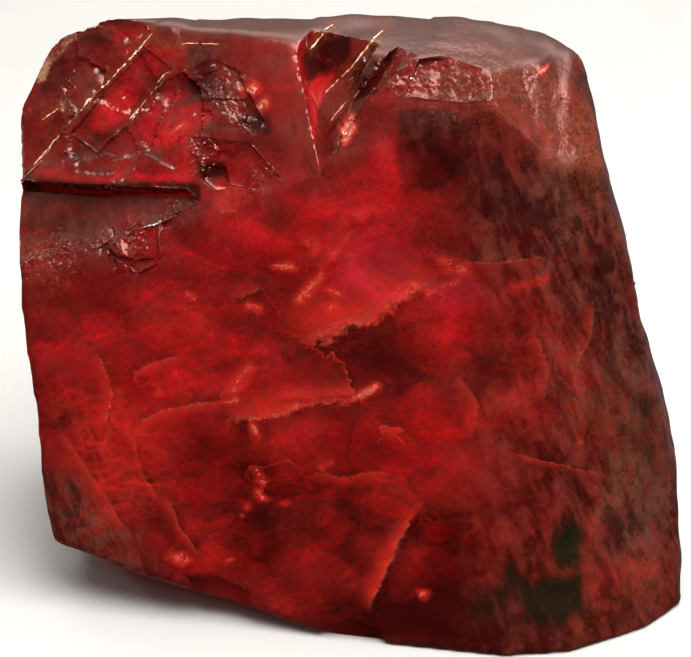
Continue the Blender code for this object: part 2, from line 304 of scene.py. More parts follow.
# Other cuts: the face each starts from, and its outline as X, Z and depth, all in millimetres.
# On a face that looks left or right, the first is Y.
CUTS = {
    "granular_hollow": ("scar", [(-3.85, 16.45, 0.03), (-3.1, 16.3, 0.12), (-2.35, 15.2, 0.26),
                                 (-2.7, 14.8, 0.16),
                                 (-3.6, 15.2, 0.05), (-4.2, 15.8, 0.02)]),
    "dark_hole": ("scar", [(-4.15, 13.95, 0.25), (-3.6, 13.95, 0.55), (-3.5, 13.45, 0.60),
                           (-3.9, 13.3, 0.35), (-4.25, 13.5, 0.2)]),
    "scar_foot": ("scar", [(-4.6, 14.5, 0.03), (-3.9, 13.6, 0.26), (-2.6, 13.5, 0.22), (-1.9, 13.9, 0.03),
                           (-2.8, 14.6, 0.02)]),
    "top_right_hollow": ("scar", [(1.7, 16.35, 0.05), (2.1, 17.3, 0.28), (3.2, 17.6, 0.34),
                                  (4.6, 17.3, 0.30), (4.9, 16.8, 0.05), (3.4, 16.45, 0.12)]),
    "sparkly_triangle": ("front", [(-7.0, 12.4, 0.24), (-5.6, 12.6, 0.26), (-5.5, 11.2, 0.05),
                                   (-6.2, 10.8, 0.02), (-7.1, 11.3, 0.04)]),
    "edge_chip_left": ("left_high", [(5.2, 12.6, 0.20), (4.1, 12.0, 0.30), (4.2, 10.6, 0.24),
                                     (5.2, 10.9, 0.05)]),
    "right_notch": ("front_right", [(8.9, 3.42, 0.05), (9.6, 3.36, 0.20), (10.6, 3.2, 0.42),
                                    (10.6, 2.85, 0.30), (9.5, 3.12, 0.05)]),
    "foot_chip": ("front", [(-0.9, -0.5, 0.55), (1.4, -0.5, 0.50), (1.1, 0.42, 0.10), (0.2, 0.75, 0.06),
                            (-0.7, 0.45, 0.10)]),
    "foot_chip_left": ("front", [(-4.6, 0.6, 0.40), (-3.0, 0.1, 0.45), (-2.9, 1.25, 0.08),
                                 (-3.9, 1.7, 0.08), (-4.9, 1.6, 0.10)]),
    "back_chip": ("back", [(3.4, 1.3, 0.20), (2.9, -1.2, 0.80), (10.5, -1.2, 2.0), (10.5, 2.4, 1.6),
                           (6.3, 3.5, 0.05)]),
    "back_terrace": ("back", [(-11.0, 8.3, 0.34), (-4.2, 9.1, 0.30), (0.3, 6.0, 0.26), (1.9, -1.0, 0.30),
                              (-11.0, -1.0, 0.50)]),
    "back_terrace_lower": ("back", [(-11.0, 5.2, 0.72), (-5.4, 6.1, 0.62), (-2.2, 3.4, 0.55),
                                    (-1.4, -1.0, 0.60), (-11.0, -1.0, 0.80)]),
    "back_ledge": ("back", [(2.6, 13.6, 0.12), (4.4, 11.2, 0.20), (9.5, 9.8, 0.45), (9.5, 13.8, 0.45),
                            (4.6, 15.3, 0.20)]),
    "right_chip": ("right_high", [(6.2, 9.2, 0.10), (8.6, 8.2, 0.50), (9.8, 11.2, 0.75),
                                  (8.4, 13.4, 0.40), (6.4, 12.2, 0.10)]),
}


def seen_on(face, column, row):
    """The point of a face that shows at this pixel of the view."""
    eye, ray = sight(column, row)
    normal = normal_of(face)
    return eye + ray * ((place(FACES[face][2]) - eye).dot(normal) / ray.dot(normal))


def corners_of(name):
    """The face of a cut, and the corners of its outline on it, each with how deep the cut is there."""
    if name in SEEN_CUTS:
        face, outline = SEEN_CUTS[name]
        return face, [(seen_on(face, column, row), depth) for column, row, depth in outline]
    face, outline = CUTS[name]
    return face, [(on_face(face, across, height), depth) for across, height, depth in outline]


# How far a cutter stands out from its face, in millimetres.
CUTTER_RISE = 1.2


def make_cutter(name):
    """The hull between a cut's outline, raised above its face, and its floor below the face."""
    face, corners = corners_of(name)
    normal = normal_of(face)
    mesh = bmesh.new()
    for at, depth in corners:
        mesh.verts.new(at + normal * CUTTER_RISE * MM)
        mesh.verts.new(at - normal * depth * MM)
    made = bmesh.ops.convex_hull(mesh, input=mesh.verts[:])
    bmesh.ops.delete(mesh, geom=list({*made["geom_interior"], *made["geom_unused"]}), context="VERTS")
    return new_object("cut_" + name, mesh)


for name in [*SEEN_CUTS, *CUTS]:
    cutter = make_cutter(name)
    cut = ruby.modifiers.new(name, "BOOLEAN")
    cut.operation, cut.solver, cut.object = "DIFFERENCE", "MANIFOLD", cutter
    bake_modifiers(ruby)
    bpy.data.objects.remove(cutter)
print(len(SEEN_CUTS) + len(CUTS), "cuts made:", len(ruby.data.vertices), "points")

# %% [markdown]
# ## Points on the cut faces
#
# A cut leaves large plain triangles, which no relief can move. Every edge that is too long is
# split at its middle, and so are the triangles beside it, and again, for a set number of passes.
# A triangle with one, two or three split edges becomes two, three or four, so the surface stays
# closed.

# %% Even triangles
# Broken, sparkling places: (centre, reach, strength).
CRUMBLED = [
    ((3.2, 4.9, 17.0), 2.3, 0.28), ((1.7, 5.1, 16.9), 1.1, 0.38), ((5.4, 4.9, 16.6), 1.5, 0.18),
    ((-3.5, 6.2, 15.9), 1.1, 0.25), ((-3.0, 5.7, 15.2), 0.6, 0.6), ((-4.2, 5.4, 14.2), 0.7, 0.8),
    ((-0.1, 4.8, 15.2), 0.8, 0.6), ((-2.4, 4.6, 13.8), 0.8, 0.35), ((-6.3, 4.6, 11.8), 1.0, 0.5),
    ((-8.6, 4.9, 10.9), 1.3, 0.4), ((-9.5, 5.2, 11.6), 0.9, 0.5), ((-5.0, 5.0, 12.6), 0.9, 0.4),
    ((-7.4, 4.8, 11.4), 0.7, 0.4), ((-9.4, 5.0, 10.6), 0.7, 0.5),
]
# Where the scar has broken along many small planes.
BROKEN = [((-6.8, 7.2, 15.0), 3.4, 0.9), ((-4.0, 6.4, 14.6), 2.4, 0.9), ((0.6, 5.6, 16.4), 1.2, 0.6),
          ((-6.2, 4.4, 11.6), 1.5, 0.8), ((-3.4, 5.2, 13.7), 1.4, 0.6)]

# A few edges at the border of the finest places would be split for ever, so the passes are counted.
MOST_PASSES = 9
# The longest edge, in millimetres, in crumbled places and elsewhere. A place counts as crumbled
# from this strength.
FINE_EDGE = 0.07
PLAIN_EDGE = 0.16
CRUMBLED_FROM = 0.03
# Smoothing passes after the splitting.
SOFT_PASSES = 3


def read_mesh(stone):
    """The points of a stone, and its faces as triangles."""
    mesh = stone.data
    mesh.calc_loop_triangles()
    faces = np.empty(len(mesh.loop_triangles) * 3, np.int32)
    mesh.loop_triangles.foreach_get("vertices", faces)
    return points_of(mesh), faces.reshape(-1, 3)


def write_mesh(stone, points, faces):
    """Gives a stone a new mesh of these points and triangles."""
    made = bpy.data.meshes.new(stone.name)
    corners = (points - (MIDDLE_X, MIDDLE_Y, 0)) * MM
    made.vertices.add(len(corners))
    made.vertices.foreach_set("co", corners.ravel())
    made.loops.add(faces.size)
    made.loops.foreach_set("vertex_index", faces.ravel().astype(np.int32))
    made.polygons.add(len(faces))
    made.polygons.foreach_set("loop_start", np.arange(0, faces.size, 3, dtype=np.int32))
    made.update(calc_edges=True)
    made.validate()
    old = stone.data
    stone.data = made
    bpy.data.meshes.remove(old)


def halve_long_edges(points, faces, longest_at):
    """Splits every edge that is longer than the longest one allowed at its middle."""
    for _ in range(MOST_PASSES):
        sides = np.stack([faces, np.roll(faces, -1, axis=1)], axis=2).reshape(-1, 2)
        keys = np.sort(sides, axis=1).astype(np.int64)
        keys, which = np.unique(keys[:, 0] * len(points) + keys[:, 1], return_inverse=True)
        edges = np.stack([keys // len(points), keys % len(points)], axis=1)
        start, end = points[edges[:, 0]], points[edges[:, 1]]
        is_long = np.linalg.norm(start - end, axis=1) > longest_at((start + end) / 2)
        if not is_long.any():
            break
        middle = np.where(is_long, len(points) + np.cumsum(is_long) - 1, -1)[which.reshape(-1, 3)]
        points = np.concatenate([points, points[edges[is_long]].mean(axis=1)])
        split = middle >= 0
        count = split.sum(axis=1)
        turn = np.zeros(len(faces), int)
        turn[count == 1] = np.argmax(split[count == 1], axis=1)
        turn[count == 2] = (np.argmin(split[count == 2], axis=1) + 1) % 3
        order = (turn[:, None] + np.arange(3)) % 3
        a, b, c = np.take_along_axis(faces, order, axis=1).T
        ab, bc, ca = np.take_along_axis(middle, order, axis=1).T
        one, two, three = count == 1, count == 2, count == 3
        faces = np.concatenate([faces[count == 0]] + [
            np.stack(corners, axis=1)[kind] for kind, corners in (
                (one, (a, ab, c)), (one, (ab, b, c)),
                (two, (ab, b, bc)), (two, (a, ab, bc)), (two, (a, bc, c)),
                (three, (a, ab, ca)), (three, (ab, b, bc)), (three, (ca, bc, c)), (three, (ab, bc, ca)),
            )
        ])
    return points, faces


def near(points, centre, reach):
    """1 at the centre, falling smoothly to 0 at this reach."""
    away = np.linalg.norm(points - np.array(centre), axis=1) / reach
    return np.clip(1 - away**2, 0, 1) ** 2


def crumbled(points):
    """How much the stone has crumbled here: 0 for not at all."""
    total = np.zeros(len(points))
    for centre, reach, strength in CRUMBLED:
        total = np.maximum(total, strength * near(points, centre, reach))
    return total


def longest_edge(points):
    return np.where(crumbled(points) > CRUMBLED_FROM, FINE_EDGE, PLAIN_EDGE)


write_mesh(ruby, *halve_long_edges(*read_mesh(ruby), longest_edge))
soften = ruby.modifiers.new("Soften", "SMOOTH")
soften.factor, soften.iterations = 0.5, SOFT_PASSES
bake_modifiers(ruby)
print("even mesh:", len(ruby.data.polygons), "triangles")

# %% [markdown]
# ## Ripples, steps and crumbs
#
# Broken corundum is never flat. The clear faces swell gently where the break wandered, the right
# end carries long steep streaks, and the back shows stepped parting. Each is a height along the
# surface normal: sums of sine waves in random directions for swells, a saw tooth for steps. The
# crumbled places are made of small cells, each a little plane with its own tilt, so that they
# sparkle. Every random draw is seeded, so the stone is the same each time.

# %% Ripples and crumbs
def ripples(points, length, seed, stretch=(1, 1, 1)):
    """Smooth random heights from about -1 to 1 with swells of this length in millimetres."""
    chance = np.random.default_rng(seed)
    total = np.zeros(len(points))
    for _ in range(14):
        way = chance.normal(size=3)
        way *= 2 * math.pi / (length * chance.uniform(0.75, 1.35) * np.linalg.norm(way))
        total += np.sin(points / np.array(stretch) @ way + chance.uniform(0, 2 * math.pi))
    return total / 3.7


def crumbs(points, size, seed):
    """Heights of small broken planes, each about this size across, tilted at random."""
    cell = np.floor(points / size)
    best = np.full(len(points), np.inf)
    height = np.zeros(len(points))
    for step in np.ndindex(3, 3, 3):
        at = cell + np.array(step) - 1
        draws = [np.modf(np.abs(np.sin(at @ way + seed) * 43758.5453))[0] for way in (
            (127.1, 311.7, 74.7), (269.5, 183.3, 246.1), (113.5, 271.9, 124.6),
            (91.3, 47.9, 158.2), (35.1, 208.4, 66.6), (181.7, 12.9, 97.3))]
        offset = points - (at + np.stack(draws[:3], axis=1)) * size
        away = (offset**2).sum(axis=1)
        nearer = away < best
        best[nearer] = away[nearer]
        tilt = np.stack(draws[3:], axis=1) - 0.5
        height[nearer] = (offset * tilt).sum(axis=1)[nearer] + (tilt[nearer, 0] * 0.5) * size
    return height


def right_side(points, normals):
    """1 on the streaked right end, 0 on the glassy front and on the back."""
    back = np.clip(normals[:, 1] * 1.6, 0, 1)
    return np.clip((points[:, 0] - 3.2) / 3.5, 0, 1) * np.clip(1.2 - back, 0, 1)


print("two patterns ready: ripples and crumbs")

# %% [markdown]
# ## The relief of the skin
#
# The patterns are now laid where each belongs, and three forms join them that lie in one place: a
# smooth tongue beside the notch, a small pit with a ring round it, and the lips where a healed
# crack reaches the skin. Every point of the mesh then moves along its own normal.

# %% Relief
# The middle of the smooth tongue beside the notch.
TONGUE = (-1.9, 6.2, 16.2)
# The small pit at the left, and the radius of the ring round it.
PIT = (-4.62, 4.0, 10.1)
PIT_RING = 0.22
# Lips of healed cracks that reach the skin: (path in pixels of the view, width, height).
LIPS = [
    ([(372, 214), (345, 225), (338, 250), (322, 268)], 0.36, 0.10),
    ([(300, 250), (285, 265), (255, 305)], 0.26, -0.05),
    ([(432, 260), (470, 260), (510, 262)], 0.30, 0.06),
    ([(420, 508), (400, 540), (384, 575), (368, 612)], 0.22, 0.05),
    ([(280, 398), (330, 395), (360, 392), (380, 388)], 0.20, 0.05),
    ([(290, 354), (328, 334), (372, 320), (392, 306), (412, 292)], 0.35, 0.06),
]


def from_front(seen, pixels):
    """What the view shows at these pixels, as x and z, which is how it looks straight from the front."""
    return [seen(column, row)[::2] for column, row in pixels]


def beside(points, path):
    """In the front view: the distance from a path, the side of it, and how far along it (0 to 1)."""
    flat = points[:, (0, 2)]
    nearest, side, along = np.full(len(flat), np.inf), np.zeros(len(flat)), np.zeros(len(flat))
    for number, (start, end) in enumerate(zip(path, path[1:])):
        way = np.subtract(end, start)
        share = np.clip(((flat - start) @ way) / (way @ way), 0, 1)
        off = flat - start - share[:, None] * way
        away = np.hypot(*off.T)
        closer = away < nearest
        nearest[closer] = away[closer]
        side[closer] = np.sign(off[:, 0] * way[1] - off[:, 1] * way[0])[closer]
        along[closer] = ((number + share) / (len(path) - 1))[closer]
    return nearest, side, along


def relief(points, normals, lips):
    """How far each point of the skin moves along its normal, in millimetres."""
    x, y, z = points.T
    front = np.clip(-normals[:, 1] * 1.6, 0, 1)
    back = np.clip(normals[:, 1] * 1.6, 0, 1)
    right = right_side(points, normals)
    # Gentle swells all over, and shorter ones on the clear front.
    lift = 0.055 * ripples(points, 3.6, 1) + 0.02 * ripples(points, 1.3, 2)
    lift += 0.022 * front * (1 - right) * ripples(points, 2.2, 3, (1.6, 1, 0.8))
    # Long steep ribs on the right end.
    along = np.stack([x * 0.96 - z * 0.22, y * 0.5, (z * 0.97 + x * 0.24) / 3.2], axis=1)
    lift += (0.024 + 0.012 * ripples(points, 2.6, 9)) * right * ripples(along, 0.85, 4)
    lift += 0.009 * right * ripples(along, 0.4, 11)
    # Stepped parting on the back.
    climb = z + 0.35 * x
    steps = climb / 1.9 + 0.35 * np.sin(climb / 1.3) + 0.10 * ripples(points, 3.1, 5)
    lift += (0.07 + 0.04 * ripples(points, 6.0, 8)) * back * (0.5 - (steps - np.floor(steps)))
    # The tongue, which swells a little, and the lips of the healed cracks.
    tongue = np.clip(1.2 - np.abs(x - TONGUE[0] + 0.55 * (TONGUE[2] - z)), 0, 1)
    lift += 0.14 * near(points, TONGUE, 1.5) * tongue
    for path, width, height in lips:
        hump = np.clip(1 - (beside(points, path)[0] / width) ** 2, 0, 1) ** 2
        lift += height * front * hump * (0.7 + 0.3 * ripples(points, 0.6, 13))
    # The pit and its ring.
    pit = np.linalg.norm(points - np.array(PIT), axis=1)
    lift += 0.05 * np.exp(-(((pit - PIT_RING) / 0.07) ** 2)) - 0.10 * np.exp(-((pit / 0.14) ** 2))
    # Broken planes in the scar, and crumbs where the stone sparkles.
    broken = np.clip(1.5 * sum(share * near(points, centre, reach) for centre, reach, share in BROKEN), 0, 1)
    planes = 0.28 * crumbs(points, 1.4, 5.0) + 0.20 * crumbs(points, 0.6, 7.0)
    lift += planes * broken * front * (1 - tongue)
    grain = 0.03 * ripples(points, 0.55, 6) + 0.30 * crumbs(points, 0.30, 1.0)
    grain += 0.50 * crumbs(points, 0.15, 2.0)
    lift += grain * np.clip(1.5 * crumbled(points), 0, 1)
    # The relief fades out towards the base, so that the stone stands flat.
    return lift * np.clip((z - 0.1) / 0.8, 0, 1)


def normals_of(mesh):
    """The normals at all points of a mesh."""
    normals = np.empty(len(mesh.vertices) * 3)
    mesh.vertex_normals.foreach_get("vector", normals)
    return normals.reshape(-1, 3)


def add_relief(stone):
    seen = look_at(stone)
    lips = [(from_front(seen, path), width, height) for path, width, height in LIPS]
    points, normals = points_of(stone.data), normals_of(stone.data)
    points += normals * relief(points, normals, lips)[:, None]
    points[:, 2] = np.maximum(points[:, 2], 0)
    stone.data.vertices.foreach_set("co", ((points - (MIDDLE_X, MIDDLE_Y, 0)) * MM).ravel())
    stone.data.update()


add_relief(ruby)
print("relief added; the stone is", round(float(np.ptp(points_of(ruby.data)[:, 0])), 2), "mm wide")

# %% [markdown]
# ## Fewer triangles, smooth shading
#
# The relief needed even triangles, but flat places don't. Decimate removes points where the
# surface hardly bends, and keeps those at edges and crumbs. The shading is smooth, as glass is,
# and stays sharp only where two facets meet at more than 38 degrees.

# %% Skin
MOST_TRIANGLES = 190_000
SHARP_FROM = 38


def simplify(stone, most):
    """Leaves at most this many triangles, first of all where the surface hardly bends."""
    fewer = stone.modifiers.new("Fewer", "DECIMATE")
    fewer.ratio = most / len(stone.data.polygons)
    bake_modifiers(stone)


simplify(ruby, MOST_TRIANGLES)
ruby.data.polygons.foreach_set("use_smooth", np.ones(len(ruby.data.polygons), bool))
ruby.data.set_sharp_from_angle(angle=math.radians(SHARP_FROM))
print("the skin has", len(ruby.data.polygons), "triangles")

# %% [markdown]
# ## Where the stone is bright, dark, frosted or stained
#
# One ruby holds many reds. Light that bounces off an inner crack comes out bright, and other
# places pass it on and stay maroon. Sand has frosted the right end and the top, and the frost on
# the faces that look up is painted darker, as painted shade. Iron has stained some edges golden,
# and a skin of mica or dark mineral sits in hollows. Each of these is a mask: a number at every
# point of the mesh, mostly from 0 to 1. Soft patches of colour are listed by their middle in
# millimetres. Cracks, facets, glints and stained edges are pointed at by their pixels.

# %% Soft patches
def blobs(points, places):
    """The sum of soft patches: (centre, reach, strength) each."""
    total = np.zeros(len(points))
    for centre, reach, strength in places:
        total += strength * near(points, centre, reach)
    return total


def save_mask(stone, name, values, low=0.0, high=1.0):
    """Writes a mask to the mesh, where a material can read it."""
    layer = stone.data.attributes.new(name, "FLOAT", "POINT")
    layer.data.foreach_set("value", np.clip(values, low, high).astype(np.float32))


# Soft patches for one mask each: (centre, reach, strength).
BRIGHT = [
    ((-2.2, 3.8, 12.6), 2.6, 0.22), ((0.9, 3.6, 13.6), 2.2, 0.42), ((1.2, 3.9, 15.0), 0.9, 0.25),
    ((0.6, 3.0, 11.4), 2.4, 0.24),
    ((-1.9, 6.3, 16.3), 1.9, 0.22), ((-5.9, 6.8, 15.0), 2.2, 0.20), ((-6.8, 5.9, 13.3), 1.1, 0.25),
    ((-8.2, 6.8, 12.9), 1.4, 0.15), ((-8.6, 2.8, 2.8), 1.6, 0.2), ((-4.6, 5.4, 13.4), 1.4, 0.25),
    ((-7.0, 3.1, 8.0), 3.6, 0.22), ((-3.4, 4.2, 12.3), 1.6, 0.25),
    ((-4.0, 2.8, 9.0), 3.0, 0.16), ((-1.8, 2.4, 7.1), 2.2, 0.16), ((-7.4, 2.8, 4.9), 2.8, 0.12),
    ((-4.6, 4.0, 10.9), 1.8, 0.2),
    ((1.4, 1.0, 2.8), 1.4, 0.10), ((3.0, 2.5, 10.2), 2.2, 0.24), ((7.0, 2.1, 7.6), 2.2, 0.18),
    ((6.2, 2.6, 10.2), 1.4, 0.25),
    ((-2.5, 1.0, 1.2), 2.4, 0.04), ((0.8, 1.9, 6.9), 1.6, 0.15), ((3.6, 1.4, 5.6), 1.6, 0.1),
    ((8.8, 1.6, 2.0), 1.2, 0.3),
]
DARK_RED = [
    ((3.4, 3.5, 14.6), 2.2, 0.30), ((5.2, 3.3, 13.4), 2.2, 0.34), ((1.4, 2.4, 8.8), 1.8, 0.30),
    ((-2.0, 3.6, 12.8), 0.9, 0.30),
    ((-8.2, 5.9, 11.9), 1.6, 0.20), ((-9.0, 7.9, 15.4), 1.6, 0.15), ((-2.2, 1.9, 4.6), 2.0, 0.30),
    ((-4.4, 2.7, 5.4), 1.3, 0.18),
    ((0.2, 1.5, 4.0), 1.8, 0.24), ((3.2, 0.9, 3.4), 2.0, 0.34), ((2.6, 0.5, 1.6), 2.0, 0.34),
    ((4.6, 2.2, 9.3), 2.0, 0.14),
    ((7.2, 3.0, 10.8), 1.6, 0.25), ((5.6, 0.8, 3.4), 2.2, 0.24), ((-5.2, 1.8, 2.2), 1.8, 0.14),
    ((-2.8, 1.6, 2.6), 1.5, 0.28),
    ((4.4, 1.6, 6.2), 1.6, 0.12), ((-0.5, 0.5, 0.5), 2.2, 0.30), ((1.8, 0.4, 0.4), 2.2, 0.34),
    ((4.6, 0.1, 0.4), 2.4, 0.38),
    ((-5.8, 6.9, 15.6), 0.5, 0.25), ((-8.3, 3.4, 6.2), 1.3, 0.12), ((8.4, 3.2, 8.8), 1.6, 0.24),
    ((6.6, 3.2, 12.6), 1.2, 0.25),
    ((7.0, 0.5, 0.6), 2.0, 0.2),
]
FROSTED = [
    ((3.2, 5.0, 17.0), 2.4, 0.25), ((5.8, 4.8, 16.2), 2.0, 0.45), ((7.0, 3.6, 13.6), 3.0, 0.32),
    ((-4.1, 5.5, 14.2), 0.6, 0.5),
    ((8.4, 2.4, 8.0), 3.4, 0.35), ((9.0, 2.2, 4.0), 3.0, 0.8), ((-8.8, 2.9, 3.0), 2.0, 2.0),
    ((-6.9, 2.2, 1.9), 1.7, 1.3),
    ((6.0, 2.6, 11.4), 2.4, 0.25), ((-8.0, 2.6, 3.4), 0.7, 0.4), ((4.6, 3.0, 12.6), 2.0, 0.20),
    ((9.8, 3.6, 8.0), 2.4, 0.4),
]
STAINED = [
    ((9.2, 1.7, 1.4), 1.8, 0.7), ((9.4, 2.5, 5.6), 2.6, 0.7), ((8.6, 2.3, 8.6), 2.6, 0.25),
    ((6.8, 0.9, 2.6), 1.4, 0.5),
    ((-8.8, 4.2, 9.8), 1.6, 0.25), ((7.2, 0.8, 0.6), 2.0, 0.35), ((7.6, 2.2, 7.0), 1.6, 0.4),
    ((-9.4, 5.2, 11.0), 0.8, 0.8),
    ((4.2, 5.2, 16.8), 2.6, 0.8), ((7.0, 4.4, 15.2), 2.4, 1.0),
]
STROKED = [
    ((-8.0, 3.3, 6.6), 2.6, 0.8), ((-6.6, 2.8, 5.2), 2.4, 0.9), ((-7.6, 2.7, 4.2), 2.0, 0.7),
    ((-4.8, 3.4, 9.6), 1.8, 0.4),
    ((6.0, 2.2, 8.6), 2.6, 0.5), ((4.0, 1.4, 5.2), 2.2, 0.5), ((-1.0, 4.2, 14.2), 1.4, 0.4),
    ((-1.4, 2.2, 6.2), 2.0, 0.5),
    ((-4.2, 3.0, 7.6), 2.0, 0.5), ((1.6, 1.4, 4.4), 1.8, 0.4), ((0.2, 3.4, 12.0), 2.2, 0.45),
    ((2.0, 2.8, 10.4), 2.0, 0.4),
]
CRIMSON = [
    ((1.2, 2.9, 10.8), 2.4, 0.7), ((3.0, 2.8, 11.7), 1.6, 0.7), ((-1.6, 3.0, 9.4), 1.6, 0.5),
    ((-2.6, 5.9, 15.8), 0.8, 1.0),
    ((-5.2, 1.9, 2.2), 1.4, 0.7), ((-3.4, 1.6, 2.4), 2.4, 0.4), ((-2.0, 2.2, 5.4), 1.6, 0.3),
    ((0.1, 5.4, 16.0), 0.8, 0.6),
    ((-9.0, 7.6, 14.1), 0.8, 0.8), ((-0.6, 2.0, 5.4), 0.7, 0.7),
]
print(sum(map(len, (BRIGHT, DARK_RED, FROSTED, STAINED, STROKED, CRIMSON))), "soft patches")

# %% [markdown]
# ## Facets, dark skin and stained edges
#
# These have clear borders, so each is an outline or a path. A facet is a small broken plane that
# looks brighter or darker than its neighbours, because it mirrors another part of the room. Under
# the ledge, in the dark hole and on the walls of the notch it is darker because it lies in shade.
# This reflection and shade are painted into the colour of the stone.

# %% Outlined places
# Flat facets, with their painted reflection and shade: how much brighter or darker each is, and
# its corners in pixels of the view.
FACETS = [
    (-0.24, [(66, 37), (109, 30), (116, 57), (92, 70), (59, 109), (38, 90)]),
    (0.22, [(112, 30), (157, 30), (127, 57), (118, 57)]),
    (0.08, [(120, 82), (157, 45), (190, 45), (170, 70), (150, 85)]),
    (-0.34, [(140, 77), (170, 82), (160, 96), (150, 87)]),
    (0.32, [(95, 110), (130, 82), (142, 92), (127, 117), (107, 130), (90, 132)]),
    (-0.20, [(60, 157), (82, 140), (117, 130), (115, 140), (80, 157)]),
    (0.18, [(135, 127), (170, 90), (190, 92), (222, 115), (185, 142), (150, 147)]),
    (-0.26, [(189, 45), (210, 45), (214, 92), (200, 102), (189, 104)]),
    (-0.55, [(240, 120), (270, 117), (271, 132), (247, 132)]),
    (-0.60, [(200, 162), (222, 162), (225, 175), (207, 185), (196, 175)]),
    (0.26, [(36, 159), (190, 174), (192, 184), (29, 175)]),
    (-0.70, [(25, 179), (199, 183), (200, 198), (26, 195)]),
    (-0.10, [(27, 192), (171, 194), (150, 200), (111, 222), (43, 252), (25, 242)]),
    (0.15, [(113, 222), (147, 208), (160, 223), (157, 250), (127, 254)]),
    (-0.34, [(285, 135), (292, 132), (320, 175), (305, 165)]),
    (-0.42, [(302, 60), (335, 25), (350, 25), (350, 60), (310, 85)]),
    (0.55, [(309, 90), (342, 67), (347, 77), (317, 125), (313, 145)]),
    (-0.50, [(322, 127), (350, 95), (362, 85), (360, 110), (335, 132)]),
    (-0.60, [(352, 60), (372, 42), (398, 45), (385, 75), (352, 100)]),
    (-0.36, [(400, 108), (452, 112), (470, 150), (440, 190), (402, 190), (396, 150)]),
]
# Patches of dark mineral skin: (strength, corners in pixels of the view).
DARK_SKIN = [
    (0.9, [(550, 528), (582, 522), (584, 562), (556, 568)]),
    (1.0, [(520, 582), (582, 578), (580, 618), (526, 622)]),
    (0.5, [(462, 586), (505, 578), (506, 618), (468, 622)]),
    (0.6, [(632, 402), (650, 402), (652, 440), (634, 436)]),
    (0.5, [(636, 446), (652, 446), (650, 470), (638, 468)]),
    (0.6, [(505, 560), (520, 560), (520, 600), (505, 600)]),
    (0.4, [(638, 514), (665, 508), (665, 520), (642, 526)]),
]
# Edges of parting planes that water has stained: (path in pixels of the view, half the width of
# the crust on it in millimetres).
PARTING_EDGES = {
    "outer_step": ([(155, 31), (130, 58), (106, 85), (88, 100), (70, 122), (55, 140), (40, 158),
                    (28, 172)], 0.040),
    "faint_step": ([(60, 105), (40, 122)], 0.020),
    "inner_step": ([(172, 68), (160, 80), (150, 95), (138, 110), (128, 122)], 0.030),
    "top_step": ([(157, 46), (190, 44), (228, 43)], 0.011),
    "tongue_edge": ([(337, 22), (322, 36), (308, 51)], 0.030),
    "notch_edge": ([(390, 24), (372, 42), (352, 66), (335, 84), (317, 100)], 0.026),
    "notch_lip": ([(382, 66), (366, 83), (345, 103), (320, 127)], 0.018),
}
print(len(FACETS), "facets,", len(DARK_SKIN), "dark patches,", len(PARTING_EDGES), "stained edges")

# %% [markdown]
# ## Inner cracks and glints
#
# A healed crack is a thin sheet of tiny bubbles inside the stone. From one side it shines, and at
# its edge it stops sharply. Real sheets would need meshes inside the solid. Drawn on the skin they
# look right from the front, and cost no triangles.

# %% Cracks and glints
# Inner cracks. The path, in pixels of the view, is the sharp edge of the sheet, which shines on the
# right-hand side of the path and is shaded on the left: (path, how far it shines, strength).
VEILS = [
    ([(130, 427), (165, 410), (200, 403), (230, 401)], 0.35, 0.8),
    ([(127, 374), (150, 364), (184, 356)], 0.30, 0.7),
    ([(386, 386), (345, 404), (313, 402), (285, 412), (250, 420), (219, 418)], 0.8, 1.0),
    ([(448, 288), (412, 292), (392, 306), (372, 320), (328, 334), (285, 358)], 1.5, 0.9),
    ([(232, 462), (262, 452), (305, 447)], 0.4, 0.8),
    ([(340, 421), (375, 424), (412, 432)], 0.4, 0.8),
    ([(505, 452), (560, 464), (612, 476)], 0.20, 0.6),
    ([(356, 227), (344, 240), (338, 250), (322, 268)], 0.5, 0.7),
    ([(430, 266), (470, 262), (510, 262), (548, 256)], 0.45, 0.6),
    ([(133, 428), (140, 470), (160, 500)], 0.25, 0.6),
    ([(98, 350), (112, 395), (104, 432)], 0.45, 0.7),
    ([(60, 430), (95, 480), (125, 530)], 0.35, 0.6),
    ([(420, 508), (400, 540), (384, 575), (368, 612)], 0.5, 0.9),
    ([(300, 470), (340, 478), (390, 470)], 0.35, 0.5),
    ([(238, 212), (216, 211)], 0.3, 0.6),
    ([(532, 326), (548, 366), (543, 405)], 0.4, 0.5),
    ([(271, 272), (257, 290), (231, 301)], 0.5, 0.5),
    ([(595, 300), (590, 340), (571, 374)], 0.4, 0.5),
    ([(167, 495), (181, 530), (200, 556)], 0.3, 0.5),
    ([(455, 371), (479, 404), (468, 444)], 0.4, 0.4),
]
